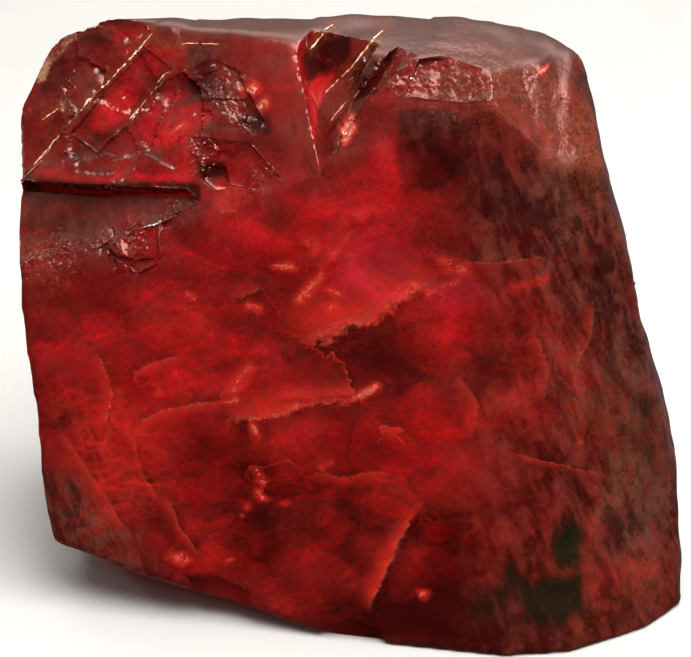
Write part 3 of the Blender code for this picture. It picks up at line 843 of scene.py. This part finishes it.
# Glints on inner cracks: (start and end in pixels of the view, reach, strength).
GLINTS = [
    ((304, 240), (314, 248), 0.22, 0.8), ((274, 266), (292, 267), 0.16, 0.9),
    ((248, 305), (260, 309), 0.18, 0.8), ((300, 300), (321, 276), 0.24, 0.85),
    ((329, 289), (340, 295), 0.13, 0.7), ((327, 309), (338, 306), 0.12, 0.9),
    ((443, 263), (462, 270), 0.32, 0.8), ((443, 286), (460, 282), 0.16, 0.9),
    ((340, 403), (360, 396), 0.10, 0.8), ((360, 396), (376, 388), 0.20, 0.95),
    ((232, 392), (250, 367), 0.26, 0.7), ((222, 403), (238, 401), 0.10, 0.8),
    ((172, 557), (186, 558), 0.22, 0.9), ((252, 422), (258, 437), 0.10, 0.9),
    ((256, 470), (262, 482), 0.18, 1.0), ((258, 492), (264, 500), 0.16, 0.9),
    ((242, 515), (247, 506), 0.08, 0.8), ((246, 91), (256, 89), 0.22, 1.0),
    ((258, 108), (266, 102), 0.20, 1.0), ((344, 132), (352, 120), 0.20, 1.0),
    ((154, 384), (166, 398), 0.10, 0.8), ((102, 450), (122, 390), 0.10, 0.6),
    ((165, 127), (175, 128), 0.08, 1.0), ((175, 128), (184, 125), 0.07, 1.0),
    ((330, 463), (322, 469), 0.12, 0.8), ((276, 506), (288, 505), 0.06, 0.7),
    ((547, 67), (541, 72), 0.08, 1.0), ((510, 290), (545, 278), 0.20, 0.5),
    ((238, 186), (220, 198), 0.24, 0.5), ((356, 227), (338, 250), 0.10, 0.6),
    ((338, 250), (322, 268), 0.08, 0.5), ((228, 562), (231, 560), 0.10, 0.8),
    ((422, 594), (427, 594), 0.16, 0.9), ((579, 439), (582, 442), 0.07, 0.8),
    ((187, 294), (194, 298), 0.10, 0.8), ((377, 566), (384, 548), 0.08, 0.5),
    ((636, 566), (654, 570), 0.30, 0.35),
]
# The pale rim along the upper left edge, and the smooth hazy tongue beside the notch.
PALE_RIM_PATH = [(99, 25), (66, 38), (44, 70), (29, 105), (25, 130)]
HAZY_TONGUE = [(230, 30), (285, 25), (302, 52), (306, 110), (315, 150), (300, 160), (262, 112), (240, 80)]
print(len(VEILS), "inner cracks and", len(GLINTS), "glints")

# %% [markdown]
# ## From places to masks
#
# Each kind of place has its own measure: the distance from a path, or the depth inside an outline.
# `paint_masks` takes them all and writes one number for each mask to every point of the mesh.

# %% Masks
# How far a stain reaches from its edge, and the blur of each kind of outline, in millimetres.
STAIN_WIDTH = 0.2
FACET_BLUR = 0.12
DARK_SKIN_BLUR = 0.6
HAZE_BLUR = 0.5
# The rim is painted only on points farther back than this.
RIM_BEHIND = 7.9


def inside(points, corners):
    """How deep a point lies inside a flat outline in the front view, in millimetres."""
    flat, corners = points[:, (0, 2)], np.array(corners)
    depth = np.full(len(flat), np.inf)
    for start, end in zip(corners, np.roll(corners, -1, axis=0)):
        inwards = np.array((end[1] - start[1], start[0] - end[0])) / np.hypot(*(end - start))
        inwards *= np.sign((corners.mean(axis=0) - start) @ inwards)
        depth = np.minimum(depth, (flat - start) @ inwards)
    return depth


def outlines(points, seen, places, blur):
    """The sum of flat outlines, (strength, corners) each, with edges blurred over this distance."""
    total = np.zeros(len(points))
    for strength, corners in places:
        total += strength * np.clip(inside(points, from_front(seen, corners)) / blur + 0.5, 0, 1)
    return total


def veils(points, seen):
    """How strong the nearest inner crack is here, and how far inside its shining side the point lies."""
    strongest, depth = np.zeros(len(points)), np.ones(len(points))
    for path, reach, strength in VEILS:
        away, side, along = beside(points, from_front(seen, path))
        window = strength * np.clip(7 * along, 0, 1) * np.clip(7 * (1 - along), 0, 1)
        window *= np.clip(2 - away / reach / 1.5, 0, 1)
        stronger = window > strongest
        strongest[stronger], depth[stronger] = window[stronger], (side * away / reach)[stronger]
    return strongest, depth


def glinting(points, seen):
    """How strong the nearest glint is here."""
    total = np.zeros(len(points))
    for start, end, reach, strength in GLINTS:
        away = beside(points, from_front(seen, (start, end)))[0]
        total = np.maximum(total, strength * np.clip(1 - (away / reach) ** 2, 0, 1))
    return total


def block_edges(points, width):
    """1 where two main faces of the block meet, falling to 0 at this depth inside a face."""
    depths = []
    for face, (_, _, start) in FACES.items():
        depths.append((np.array(start) - points) @ np.array(normal_of(face)))
    return np.clip(1 - np.sort(np.array(depths), axis=0)[1] / width, 0, 1)


def stain_lines(points, seen):
    """1 on the parting edges that water has stained, falling to 0 at the width of a stain."""
    total = np.zeros(len(points))
    for path, _ in PARTING_EDGES.values():
        away = beside(points, from_front(seen, path))[0]
        total = np.maximum(total, np.clip(1 - away / STAIN_WIDTH, 0, 1))
    return total


def paint_masks(stone):
    seen = look_at(stone)
    points, normals = points_of(stone.data), normals_of(stone.data)
    front = np.clip(-normals[:, 1] * 3 + 0.5, 0, 1)
    back = np.clip(normals[:, 1] * 1.6, 0, 1)
    right, edges = right_side(points, normals), block_edges(points, 0.4)
    left_rim = np.clip(1.4 - beside(points, from_front(seen, PALE_RIM_PATH))[0] / 0.2, 0, 1)
    crack, depth = veils(points, seen)
    tone = 0.44 + blobs(points, BRIGHT) - blobs(points, DARK_RED) - 0.08 * right
    tone += 0.08 * ripples(points, 3.4, 21) + 0.05 * ripples(points, 1.4, 22, (1.5, 1, 0.8))
    # The facets add their painted reflection and shade to the tone.
    tone += outlines(points, seen, FACETS, FACET_BLUR) * front
    save_mask(stone, "bright", tone, -1, 2)
    save_mask(stone, "frosted", blobs(points, FROSTED) + 0.28 * right + 0.3 * back + 0.3 * edges)
    save_mask(stone, "stained", blobs(points, STAINED) + 0.9 * stain_lines(points, seen) * front)
    save_mask(stone, "dark_skin", outlines(points, seen, DARK_SKIN, DARK_SKIN_BLUR) * front)
    save_mask(stone, "crumbled", 1.6 * crumbled(points))
    save_mask(stone, "streaked", right)
    save_mask(stone, "stroked", blobs(points, STROKED))
    save_mask(stone, "veil", crack * front)
    save_mask(stone, "veil_depth", depth, -3, 3)
    save_mask(stone, "glint", glinting(points, seen) * front)
    save_mask(stone, "crimson", blobs(points, CRIMSON))
    patchy = 1 + 0.8 * ripples(points, 1.1, 31)
    save_mask(stone, "rim", 0.45 * left_rim * (points[:, 1] > RIM_BEHIND) * patchy)
    # How far each face looks up. The frost there is painted darker in the material, as painted shade.
    save_mask(stone, "top", np.clip(normals[:, 2] * 2.6 - 1.2, 0, 1))
    save_mask(stone, "haze", outlines(points, seen, [(0.9, HAZY_TONGUE)], HAZE_BLUR) * front)


paint_masks(ruby)
print("masks:", [layer.name for layer in ruby.data.attributes if layer.data_type == "FLOAT"])

# %% [markdown]
# ## Building materials from nodes
#
# A procedural material is a small network. `node` adds one node, and takes its inputs either as
# plain values or as the outputs of other nodes, so that a network reads like a formula.

# %% Node helpers
def new_material(name):
    """An empty material, its Principled shader and its Object coordinates in millimetres."""
    made = bpy.data.materials.new(name)
    made.use_nodes = True
    tree = made.node_tree
    shader = next(n for n in tree.nodes if n.type == "BSDF_PRINCIPLED")
    place_of = node(tree, "ShaderNodeTexCoord").outputs["Object"]
    scaled = node(tree, "ShaderNodeVectorMath", {0: place_of, 3: 1 / MM}, operation="SCALE").outputs[0]
    return made, tree, shader, scaled


def node(tree, kind, inputs=None, **settings):
    """Adds a node. Its inputs are named or numbered, and each is a value or another node's output."""
    made = tree.nodes.new(kind)
    for name, value in settings.items():
        setattr(made, name, value)
    for name, value in (inputs or {}).items():
        if isinstance(value, bpy.types.NodeSocket):
            tree.links.new(value, made.inputs[name])
        else:
            made.inputs[name].default_value = value
    return made


def maths(tree, operation, *values, clamp=False):
    """One step of arithmetic on numbers or sockets."""
    inputs = dict(enumerate(values))
    return node(tree, "ShaderNodeMath", inputs, operation=operation, use_clamp=clamp).outputs[0]


def blend_colours(tree, share, first, second):
    """The first colour where the share is 0, the second where it is 1."""
    first, second = ((*c, 1) if isinstance(c, tuple) else c for c in (first, second))
    return node(tree, "ShaderNodeMix", {0: share, 6: first, 7: second}, data_type="RGBA").outputs[2]


def spread(tree, value, low, high, to_low=0.0, to_high=1.0):
    """Stretches what lies between low and high over the new range, softly at both ends."""
    inputs = {0: value, 1: low, 2: high, 3: to_low, 4: to_high}
    return node(tree, "ShaderNodeMapRange", inputs, interpolation_type="SMOOTHSTEP").outputs[0]


def cloud(tree, where, scale, detail=4.0, rough=0.55, bend=0.0):
    """A cloudy pattern from 0 to 1, with this many clouds to a millimetre."""
    inputs = {"Vector": where, "Scale": scale, "Detail": detail, "Roughness": rough, "Distortion": bend}
    return node(tree, "ShaderNodeTexNoise", inputs).outputs[0]


def stretched(tree, where, lengths, lean):
    """Coordinates for a pattern drawn out by these lengths, leaning this many degrees from x to z."""
    inputs = {"Vector": where, "Rotation": (0, math.radians(-lean), 0), "Scale": lengths}
    return node(tree, "ShaderNodeMapping", inputs, vector_type="TEXTURE").outputs[0]


def ridges(tree, value, thin):
    """Thin lines where a cloudy pattern passes through its middle value."""
    away = maths(tree, "ABSOLUTE", maths(tree, "MULTIPLY_ADD", value, 2.0, -1.0))
    return maths(tree, "POWER", maths(tree, "SUBTRACT", 1.0, away, clamp=True), thin)


def mask(tree, name):
    """A mask that was painted on the stone."""
    return node(tree, "ShaderNodeAttribute", attribute_name=name).outputs["Fac"]


print("node helpers ready")

# %% [markdown]
# ## The ruby itself
#
# Real ruby has an index of 1.76, so it bends and mirrors light more than glass does, and
# chromium soaks up green and blue over a few millimetres. These are plain values here: IOR,
# Transmission Weight, and a Volume Absorption. A cut gem would need no more. A raw one also
# scatters light on healed cracks and a ground skin, so part of its surface is left to plain
# colour, and that colour follows the masks and a few cloudy patterns.

# %% Colours of the ruby
MAROON = (0.048, 0.005, 0.004)
DEEP_RED = (0.25, 0.013, 0.011)
BRIGHT_RED = (0.80, 0.015, 0.024)
VEIL_RED = (1.0, 0.060, 0.038)
CRACK_RED = (1.0, 0.22, 0.12)
ROSE = (0.74, 0.045, 0.15)
HAZE = (0.36, 0.018, 0.014)
PALE_GLINT = (1.0, 0.55, 0.42)
FROST = (0.22, 0.070, 0.043)
FROST_DARK = (0.055, 0.014, 0.010)
# Frost on the faces that look up, painted darker as shade.
TOP_FROST_SHADE = (0.048, 0.028, 0.019)
OLIVE = (0.11, 0.058, 0.028)
RUST = (0.34, 0.075, 0.022)
PALE_RIM = (0.60, 0.36, 0.20)
GREEN_BLACK = (0.005, 0.021, 0.010)
SPARK = (0.80, 0.45, 0.36)
RUBY_IOR = 1.76
CLEAR_SHARE = 0.65
MIRROR_TINT = (0.62, 0.30, 0.27, 1)
PASSED_LIGHT = (0.97, 0.06, 0.09, 1)
# How strongly the other light is absorbed, per metre of stone.
ABSORPTION = 560
# The roughness of polished stone, and what full frost adds to it.
POLISH = 0.05
FROST_ROUGHNESS = 0.36
print("ruby: index", RUBY_IOR, "and", CLEAR_SHARE, "of the surface clear")

# %% [markdown]
# ## Cracks and reds
#
# Two parts of the network are written as functions of their own: the three parts of an inner
# crack, and the red of the stone itself, from maroon over deep red to bright red and rose.

# %% Cracks and reds


def crack_parts(tree, fine, finest):
    """The shining sheet on one side of a crack's edge, the shade on the other, and the edge."""
    ragged = maths(tree, "MULTIPLY_ADD", fine, 0.9, -0.45)
    depth = maths(tree, "ADD", mask(tree, "veil_depth"), ragged)
    sheet = maths(tree, "MULTIPLY", spread(tree, depth, -0.12, 0.08), spread(tree, depth, 1.1, 0.05))
    shade = maths(tree, "MULTIPLY", spread(tree, depth, 0.05, -0.12), spread(tree, depth, -1.2, -0.2))
    line = spread(tree, maths(tree, "ABSOLUTE", depth), 0.16, 0.0)
    line = maths(tree, "MULTIPLY", line, spread(tree, finest, 0.40, 0.62))
    return [maths(tree, "MULTIPLY", part, mask(tree, "veil"), clamp=True) for part in (sheet, shade, line)]


def red_colour(tree, where, fine, steep, shade):
    """Maroon to bright red, rose in places, with feathery strokes."""
    tone = maths(tree, "ADD", mask(tree, "bright"), maths(tree, "MULTIPLY_ADD", fine, 0.8, -0.4))
    tone = maths(tree, "MULTIPLY_ADD", shade, -0.26, tone)
    streak = maths(tree, "MULTIPLY", maths(tree, "MULTIPLY_ADD", steep, 1.9, -0.95), mask(tree, "streaked"))
    tone = maths(tree, "ADD", tone, streak)
    red = blend_colours(tree, spread(tree, tone, 0.0, 0.5), MAROON, DEEP_RED)
    rosy = maths(tree, "MULTIPLY", mask(tree, "crimson"), 0.8)
    lit = blend_colours(tree, rosy, BRIGHT_RED, ROSE)
    red = blend_colours(tree, spread(tree, tone, 0.42, 1.0), red, lit)
    threads = ridges(tree, cloud(tree, stretched(tree, where, (2.6, 1, 0.8), 24), 1.2, 3.0, 0.6, 0.7), 9.0)
    strokes = ridges(tree, cloud(tree, stretched(tree, where, (0.6, 1, 2.4), 24), 1.0, 3.0, 0.6, 0.6), 9.0)
    swirls = maths(tree, "MAXIMUM", strokes, threads)
    swirls = maths(tree, "MULTIPLY", swirls, mask(tree, "stroked"), clamp=True)
    return blend_colours(tree, maths(tree, "MULTIPLY", swirls, 0.5), red, VEIL_RED)


print("cracks and reds ready")

# %% Ruby material
def ruby_material():
    """Clear red stone. The masks lay sheets, haze, frost, rust, dark skin and glints over it in turn."""
    made, tree, shader, where = new_material("ruby")
    fine = cloud(tree, stretched(tree, where, (1.3, 1, 0.8), 32), 1.9, 4.0, 0.68, 0.4)
    finest = cloud(tree, where, 8.0, 3.0, 0.7)
    steep = cloud(tree, stretched(tree, where, (0.6, 1, 2.0), 20), 1.6, 4.0, 0.68, 0.4)
    sheet, shade, line = crack_parts(tree, fine, finest)
    colour = red_colour(tree, where, fine, steep, shade)
    colour = blend_colours(tree, maths(tree, "MULTIPLY", sheet, 0.6), colour, VEIL_RED)
    grain = cloud(tree, stretched(tree, where, (1.6, 1, 0.8), 35), 13.0, 2.0, 0.6)
    silk = spread(tree, grain, 0.48, 0.70, 0.0, 0.16)
    silk = maths(tree, "MULTIPLY", silk, mask(tree, "bright"), clamp=True)
    colour = blend_colours(tree, silk, colour, CRACK_RED)
    colour = blend_colours(tree, maths(tree, "MULTIPLY", mask(tree, "haze"), 0.85), colour, HAZE)
    frost_colour = blend_colours(tree, spread(tree, steep, 0.40, 0.60), FROST_DARK, FROST)
    olive = maths(tree, "MULTIPLY", mask(tree, "stained"), 0.6)
    frost_colour = blend_colours(tree, olive, frost_colour, OLIVE)
    # Faces that look up take a darker frost colour: painted shade.
    top = maths(tree, "MULTIPLY", mask(tree, "top"), 0.9)
    frost_colour = blend_colours(tree, top, frost_colour, TOP_FROST_SHADE)
    frost = maths(tree, "MULTIPLY", mask(tree, "frosted"), spread(tree, fine, 0.32, 0.62, 0.3, 1.2))
    frost = maths(tree, "MAXIMUM", frost, top, clamp=True)
    colour = blend_colours(tree, frost, colour, frost_colour)
    rust = maths(tree, "MULTIPLY", mask(tree, "stained"), spread(tree, finest, 0.42, 0.60), clamp=True)
    colour = blend_colours(tree, maths(tree, "MULTIPLY", rust, 0.8), colour, RUST)
    rim = spread(tree, maths(tree, "MULTIPLY", mask(tree, "rim"), finest), 0.15, 0.45)
    colour = blend_colours(tree, rim, colour, PALE_RIM)
    skin = maths(tree, "MULTIPLY", mask(tree, "dark_skin"), spread(tree, steep, 0.30, 0.65, 1.2, 0.7))
    colour = blend_colours(tree, spread(tree, skin, 0.0, 0.75, 0.0, 0.96), colour, GREEN_BLACK)
    colour = blend_colours(tree, maths(tree, "MULTIPLY", line, 0.6), colour, CRACK_RED)
    glow = maths(tree, "MULTIPLY", mask(tree, "glint"), spread(tree, fine, 0.3, 0.6, 0.5, 1.1), clamp=True)
    colour = blend_colours(tree, glow, colour, VEIL_RED)
    glow = spread(tree, maths(tree, "MULTIPLY", glow, finest), 0.25, 0.55)
    colour = blend_colours(tree, glow, colour, CRACK_RED)
    spark = spread(tree, maths(tree, "MULTIPLY", mask(tree, "glint"), grain), 0.46, 0.56)
    colour = blend_colours(tree, spark, colour, PALE_GLINT)
    # Painted sparkles: pale specks in the crumbled places, over the sparkle that their relief gives.
    sparks = maths(tree, "MULTIPLY", spread(tree, grain, 0.63, 0.68), mask(tree, "crumbled"), clamp=True)
    colour = blend_colours(tree, sparks, colour, SPARK)
    tree.links.new(colour, shader.inputs["Base Color"])
    frosty = maths(tree, "MULTIPLY_ADD", mask(tree, "top"), -0.06, FROST_ROUGHNESS)
    rough = maths(tree, "MULTIPLY", frost, frosty)
    tree.links.new(maths(tree, "ADD", rough, POLISH), shader.inputs["Roughness"])
    shader.inputs["IOR"].default_value = RUBY_IOR
    shader.inputs["Specular Tint"].default_value = MIRROR_TINT
    shader.inputs["Transmission Weight"].default_value = CLEAR_SHARE
    worn = maths(tree, "MULTIPLY_ADD", mask(tree, "frosted"), 1.0, 0.25)
    height = maths(tree, "MULTIPLY", cloud(tree, where, 4.0, 4.0, 0.62), worn)
    bump = node(tree, "ShaderNodeBump", {"Height": height, "Strength": 0.6, "Distance": 0.05 * MM})
    tree.links.new(bump.outputs[0], shader.inputs["Normal"])
    output = next(n for n in tree.nodes if n.type == "OUTPUT_MATERIAL")
    absorbing = node(tree, "ShaderNodeVolumeAbsorption", {"Color": PASSED_LIGHT, "Density": ABSORPTION})
    tree.links.new(absorbing.outputs[0], output.inputs["Volume"])
    return made


ruby.data.materials.clear()
ruby.data.materials.append(ruby_material())
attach(ruby, "root")
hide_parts("ruby_crystal")
print("materials:", [m.name for m in bpy.data.materials])

# %% [markdown]
# ## Golden edges
#
# Water has left iron in the open ends of the parting planes, so their edges shine golden. It sits
# on the stone as a thin broken crust. Each crust below follows one edge: short ribbons, pressed
# onto the surface, that swell, thin out and stop, with a small ridge along the middle.

# %% Iron crust
# The distance between two sections of a crust, and the half width at which it breaks off.
STEP = 0.05
THINNEST = 0.006
SHORTEST_RUN = 4
CRUST_SEED = 12
# The cross section of a crust, in half widths: (sideways, outwards) at each corner.
CRUST_PROFILE = ((-1, 0.0), (-0.45, 0.42), (0.1, 0.62), (0.6, 0.3), (1, 0.0), (0, -0.5))
IRON_BROWN = (0.46, 0.16, 0.06)
IRON_GOLD = (0.80, 0.58, 0.40)


def crust_sections(path, half_width, tree, chance):
    """Cross sections of one crust: (middle, sideways, outwards, half width) at every step."""
    path = [Vector(p) for p in path]
    lengths = [(b - a).length for a, b in zip(path, path[1:])]
    total = sum(lengths)
    phases = chance.uniform(0, 2 * math.pi, 6)
    sections = []
    for travelled in np.arange(0, total, STEP):
        left = travelled
        for (start, end), length in zip(zip(path, path[1:]), lengths):
            if left <= length:
                break
            left -= length
        at = start.lerp(end, min(left / length, 1))
        along = (end - start).normalized()
        wander = 0.020 * math.sin(travelled * 3.1 + phases[0])
        wander += 0.008 * math.sin(travelled * 17 + phases[1])
        touch, outward, _, _ = tree.find_nearest(place(at))
        sideways = along.cross(outward).normalized()
        touch, outward, _, _ = tree.find_nearest(touch + sideways * wander * MM)
        sideways = along.cross(outward).normalized()
        swell = 0.72 + 0.22 * math.sin(travelled * 2.3 + phases[2])
        swell += 0.20 * math.sin(travelled * 8 + phases[3])
        swell += 0.24 * math.sin(travelled * 27 + phases[4])
        swell *= min(1, 6 * travelled / total, 6 * (total - travelled) / total)
        sections.append((touch, sideways, outward, half_width * swell))
    return sections


def add_crust(mesh, sections):
    """Closed ribbons along the sections, with a gap wherever the crust has thinned out."""
    run = []
    for section in sections + [None]:
        if section is not None and section[3] > THINNEST:
            run.append(section)
            continue
        if len(run) >= SHORTEST_RUN:
            rings = []
            for number, (at, sideways, outward, half) in enumerate(run):
                half *= 0.25 if number in (0, len(run) - 1) else 1
                at, half = at + outward * 0.004 * MM, half * MM
                rings.append([mesh.verts.new(at + sideways * half * a + outward * half * b)
                              for a, b in CRUST_PROFILE])
            for first, second in zip(rings, rings[1:]):
                for k in range(len(CRUST_PROFILE)):
                    after = (k + 1) % len(CRUST_PROFILE)
                    mesh.faces.new((first[k], first[after], second[after], second[k]))
            mesh.faces.new(rings[0][::-1])
            mesh.faces.new(rings[-1])
        run = []


def make_crust(stone):
    graph = bpy.context.evaluated_depsgraph_get()
    tree = BVHTree.FromObject(stone, graph)
    seen = look_at(stone)
    chance = np.random.default_rng(CRUST_SEED)
    mesh = bmesh.new()
    for pixels, half_width in PARTING_EDGES.values():
        path = [seen(column, row) for column, row in pixels]
        add_crust(mesh, crust_sections(path, half_width, tree, chance))
    return new_object("golden_edges", mesh)


def crust_material():
    made, tree, shader, where = new_material("iron_crust")
    grain = cloud(tree, where, 6.0, 5.0, 0.65)
    colour = blend_colours(tree, spread(tree, grain, 0.38, 0.62), IRON_BROWN, IRON_GOLD)
    tree.links.new(colour, shader.inputs["Base Color"])
    tree.links.new(spread(tree, grain, 0.3, 0.7, 0.35, 0.6), shader.inputs["Roughness"])
    bump = node(tree, "ShaderNodeBump", {"Height": grain, "Strength": 0.6, "Distance": 0.02 * MM})
    tree.links.new(bump.outputs[0], shader.inputs["Normal"])
    return made


crust = make_crust(ruby)
crust.data.materials.append(crust_material())
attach(crust, "root")
print("golden edges:", len(crust.data.polygons), "faces")

# %% [markdown]
# ## Floor, lights and camera
#
# The stone stands on a pale disc. Clear red stone looks alive only with light behind it, so the
# largest soft box is behind and above, and the sky is brightest there. One above, a little to the
# front and the right, shows the frosted skin. The front itself stays dim, or its mirror image would
# lie over the red as a grey veil, and three small boxes around it set single glints on the stone.

# %% Floor
FLOOR_RADIUS = 46
FLOOR_MIDDLE_Y = 34
FLOOR_GREY = (0.35, 0.345, 0.335)
FLOOR_PALE = (0.39, 0.385, 0.375)
floor_mesh = bmesh.new()
bmesh.ops.create_circle(floor_mesh, cap_ends=True, segments=96, radius=FLOOR_RADIUS * MM)
floor = new_object("floor", floor_mesh)
floor.location = Vector((0, FLOOR_MIDDLE_Y, -0.02)) * MM
floor_material, floor_tree, floor_shader, floor_place = new_material("pale_floor")
floor_cloud = cloud(floor_tree, floor_place, 0.2)
floor_colour = blend_colours(floor_tree, floor_cloud, FLOOR_GREY, FLOOR_PALE)
floor_tree.links.new(floor_colour, floor_shader.inputs["Base Color"])
floor_shader.inputs["Roughness"].default_value = 0.8
floor.data.materials.append(floor_material)
# Mirror rays don't see the floor, or its mirror image would draw a white rim on the stone.
floor.visible_glossy = False
print("floor", 2 * FLOOR_RADIUS, "mm across")

# %% Lights
# Where each box is and its size, both in millimetres, its watts and its colour.
SOFT_BOXES = {
    "back_box": ((0, 62, 112), (140, 80), 0.13, (1.0, 0.97, 0.93)),
    "top_box": ((22, -22, 100), (90, 80), 0.31, (1.0, 0.98, 0.96)),
    "left_glint": ((-85, 5, 60), (6, 6), 0.006, (1.0, 0.95, 0.9)),
    "front_glint": ((10, -95, 78), (6, 6), 0.006, (1.0, 0.95, 0.9)),
    "right_glint": ((85, -50, 60), (6, 6), 0.005, (1.0, 0.95, 0.9)),
}
LIT_HEIGHT = 8
SKY_WHITE = (1.0, 0.995, 0.985)


def add_soft_box(name, at, size, watts, colour):
    """A flat lamp that looks at the middle of the stone."""
    lamp = bpy.data.lights.new(name, "AREA")
    lamp.shape, lamp.size, lamp.size_y = "RECTANGLE", size[0] * MM, size[1] * MM
    lamp.energy, lamp.color = watts, colour
    made = bpy.data.objects.new(name, lamp)
    made.location = Vector(at) * MM
    towards = Vector((0, 0, LIT_HEIGHT)) * MM - made.location
    made.rotation_euler = towards.to_track_quat("-Z", "Y").to_euler()
    bpy.context.scene.collection.objects.link(made)


for name, (at, size, watts, colour) in SOFT_BOXES.items():
    add_soft_box(name, at, size, watts, colour)

world = bpy.data.worlds.new("studio")
bpy.context.scene.world = world
world.use_nodes = True
sky = world.node_tree
background = next(n for n in sky.nodes if n.type == "BACKGROUND")
way = node(sky, "ShaderNodeSeparateXYZ", {0: node(sky, "ShaderNodeTexCoord").outputs["Generated"]})
behind = spread(sky, way.outputs[1], -0.3, 0.7, 0.06, 0.35)
above = spread(sky, way.outputs[2], 0.0, 1.0, 0.0, 0.25)
behind = maths(sky, "MULTIPLY", behind, spread(sky, way.outputs[2], -0.3, 0.2, 0.3, 1.0))
sky_glow = maths(sky, "ADD", behind, above)
from_camera = node(sky, "ShaderNodeLightPath").outputs["Is Camera Ray"]
sky.links.new(blend_colours(sky, from_camera, sky_glow, SKY_WHITE), background.inputs["Color"])
print("lights:", list(SOFT_BOXES))

# %% Camera
eye = bpy.data.cameras.new("camera")
eye.lens, eye.sensor_width = VIEW_LENS, VIEW_SENSOR
eye.clip_start, eye.clip_end = 0.001, 10
camera = bpy.data.objects.new("camera", eye)
camera.location = sight(0, 0)[0]
camera.rotation_euler = (math.radians(90 - VIEW_TILT), 0, 0)
bpy.context.scene.collection.objects.link(camera)
bpy.context.scene.camera = camera
bpy.context.scene.view_settings.view_transform = "Standard"
print("camera at", tuple(round(c / MM, 1) for c in camera.location))
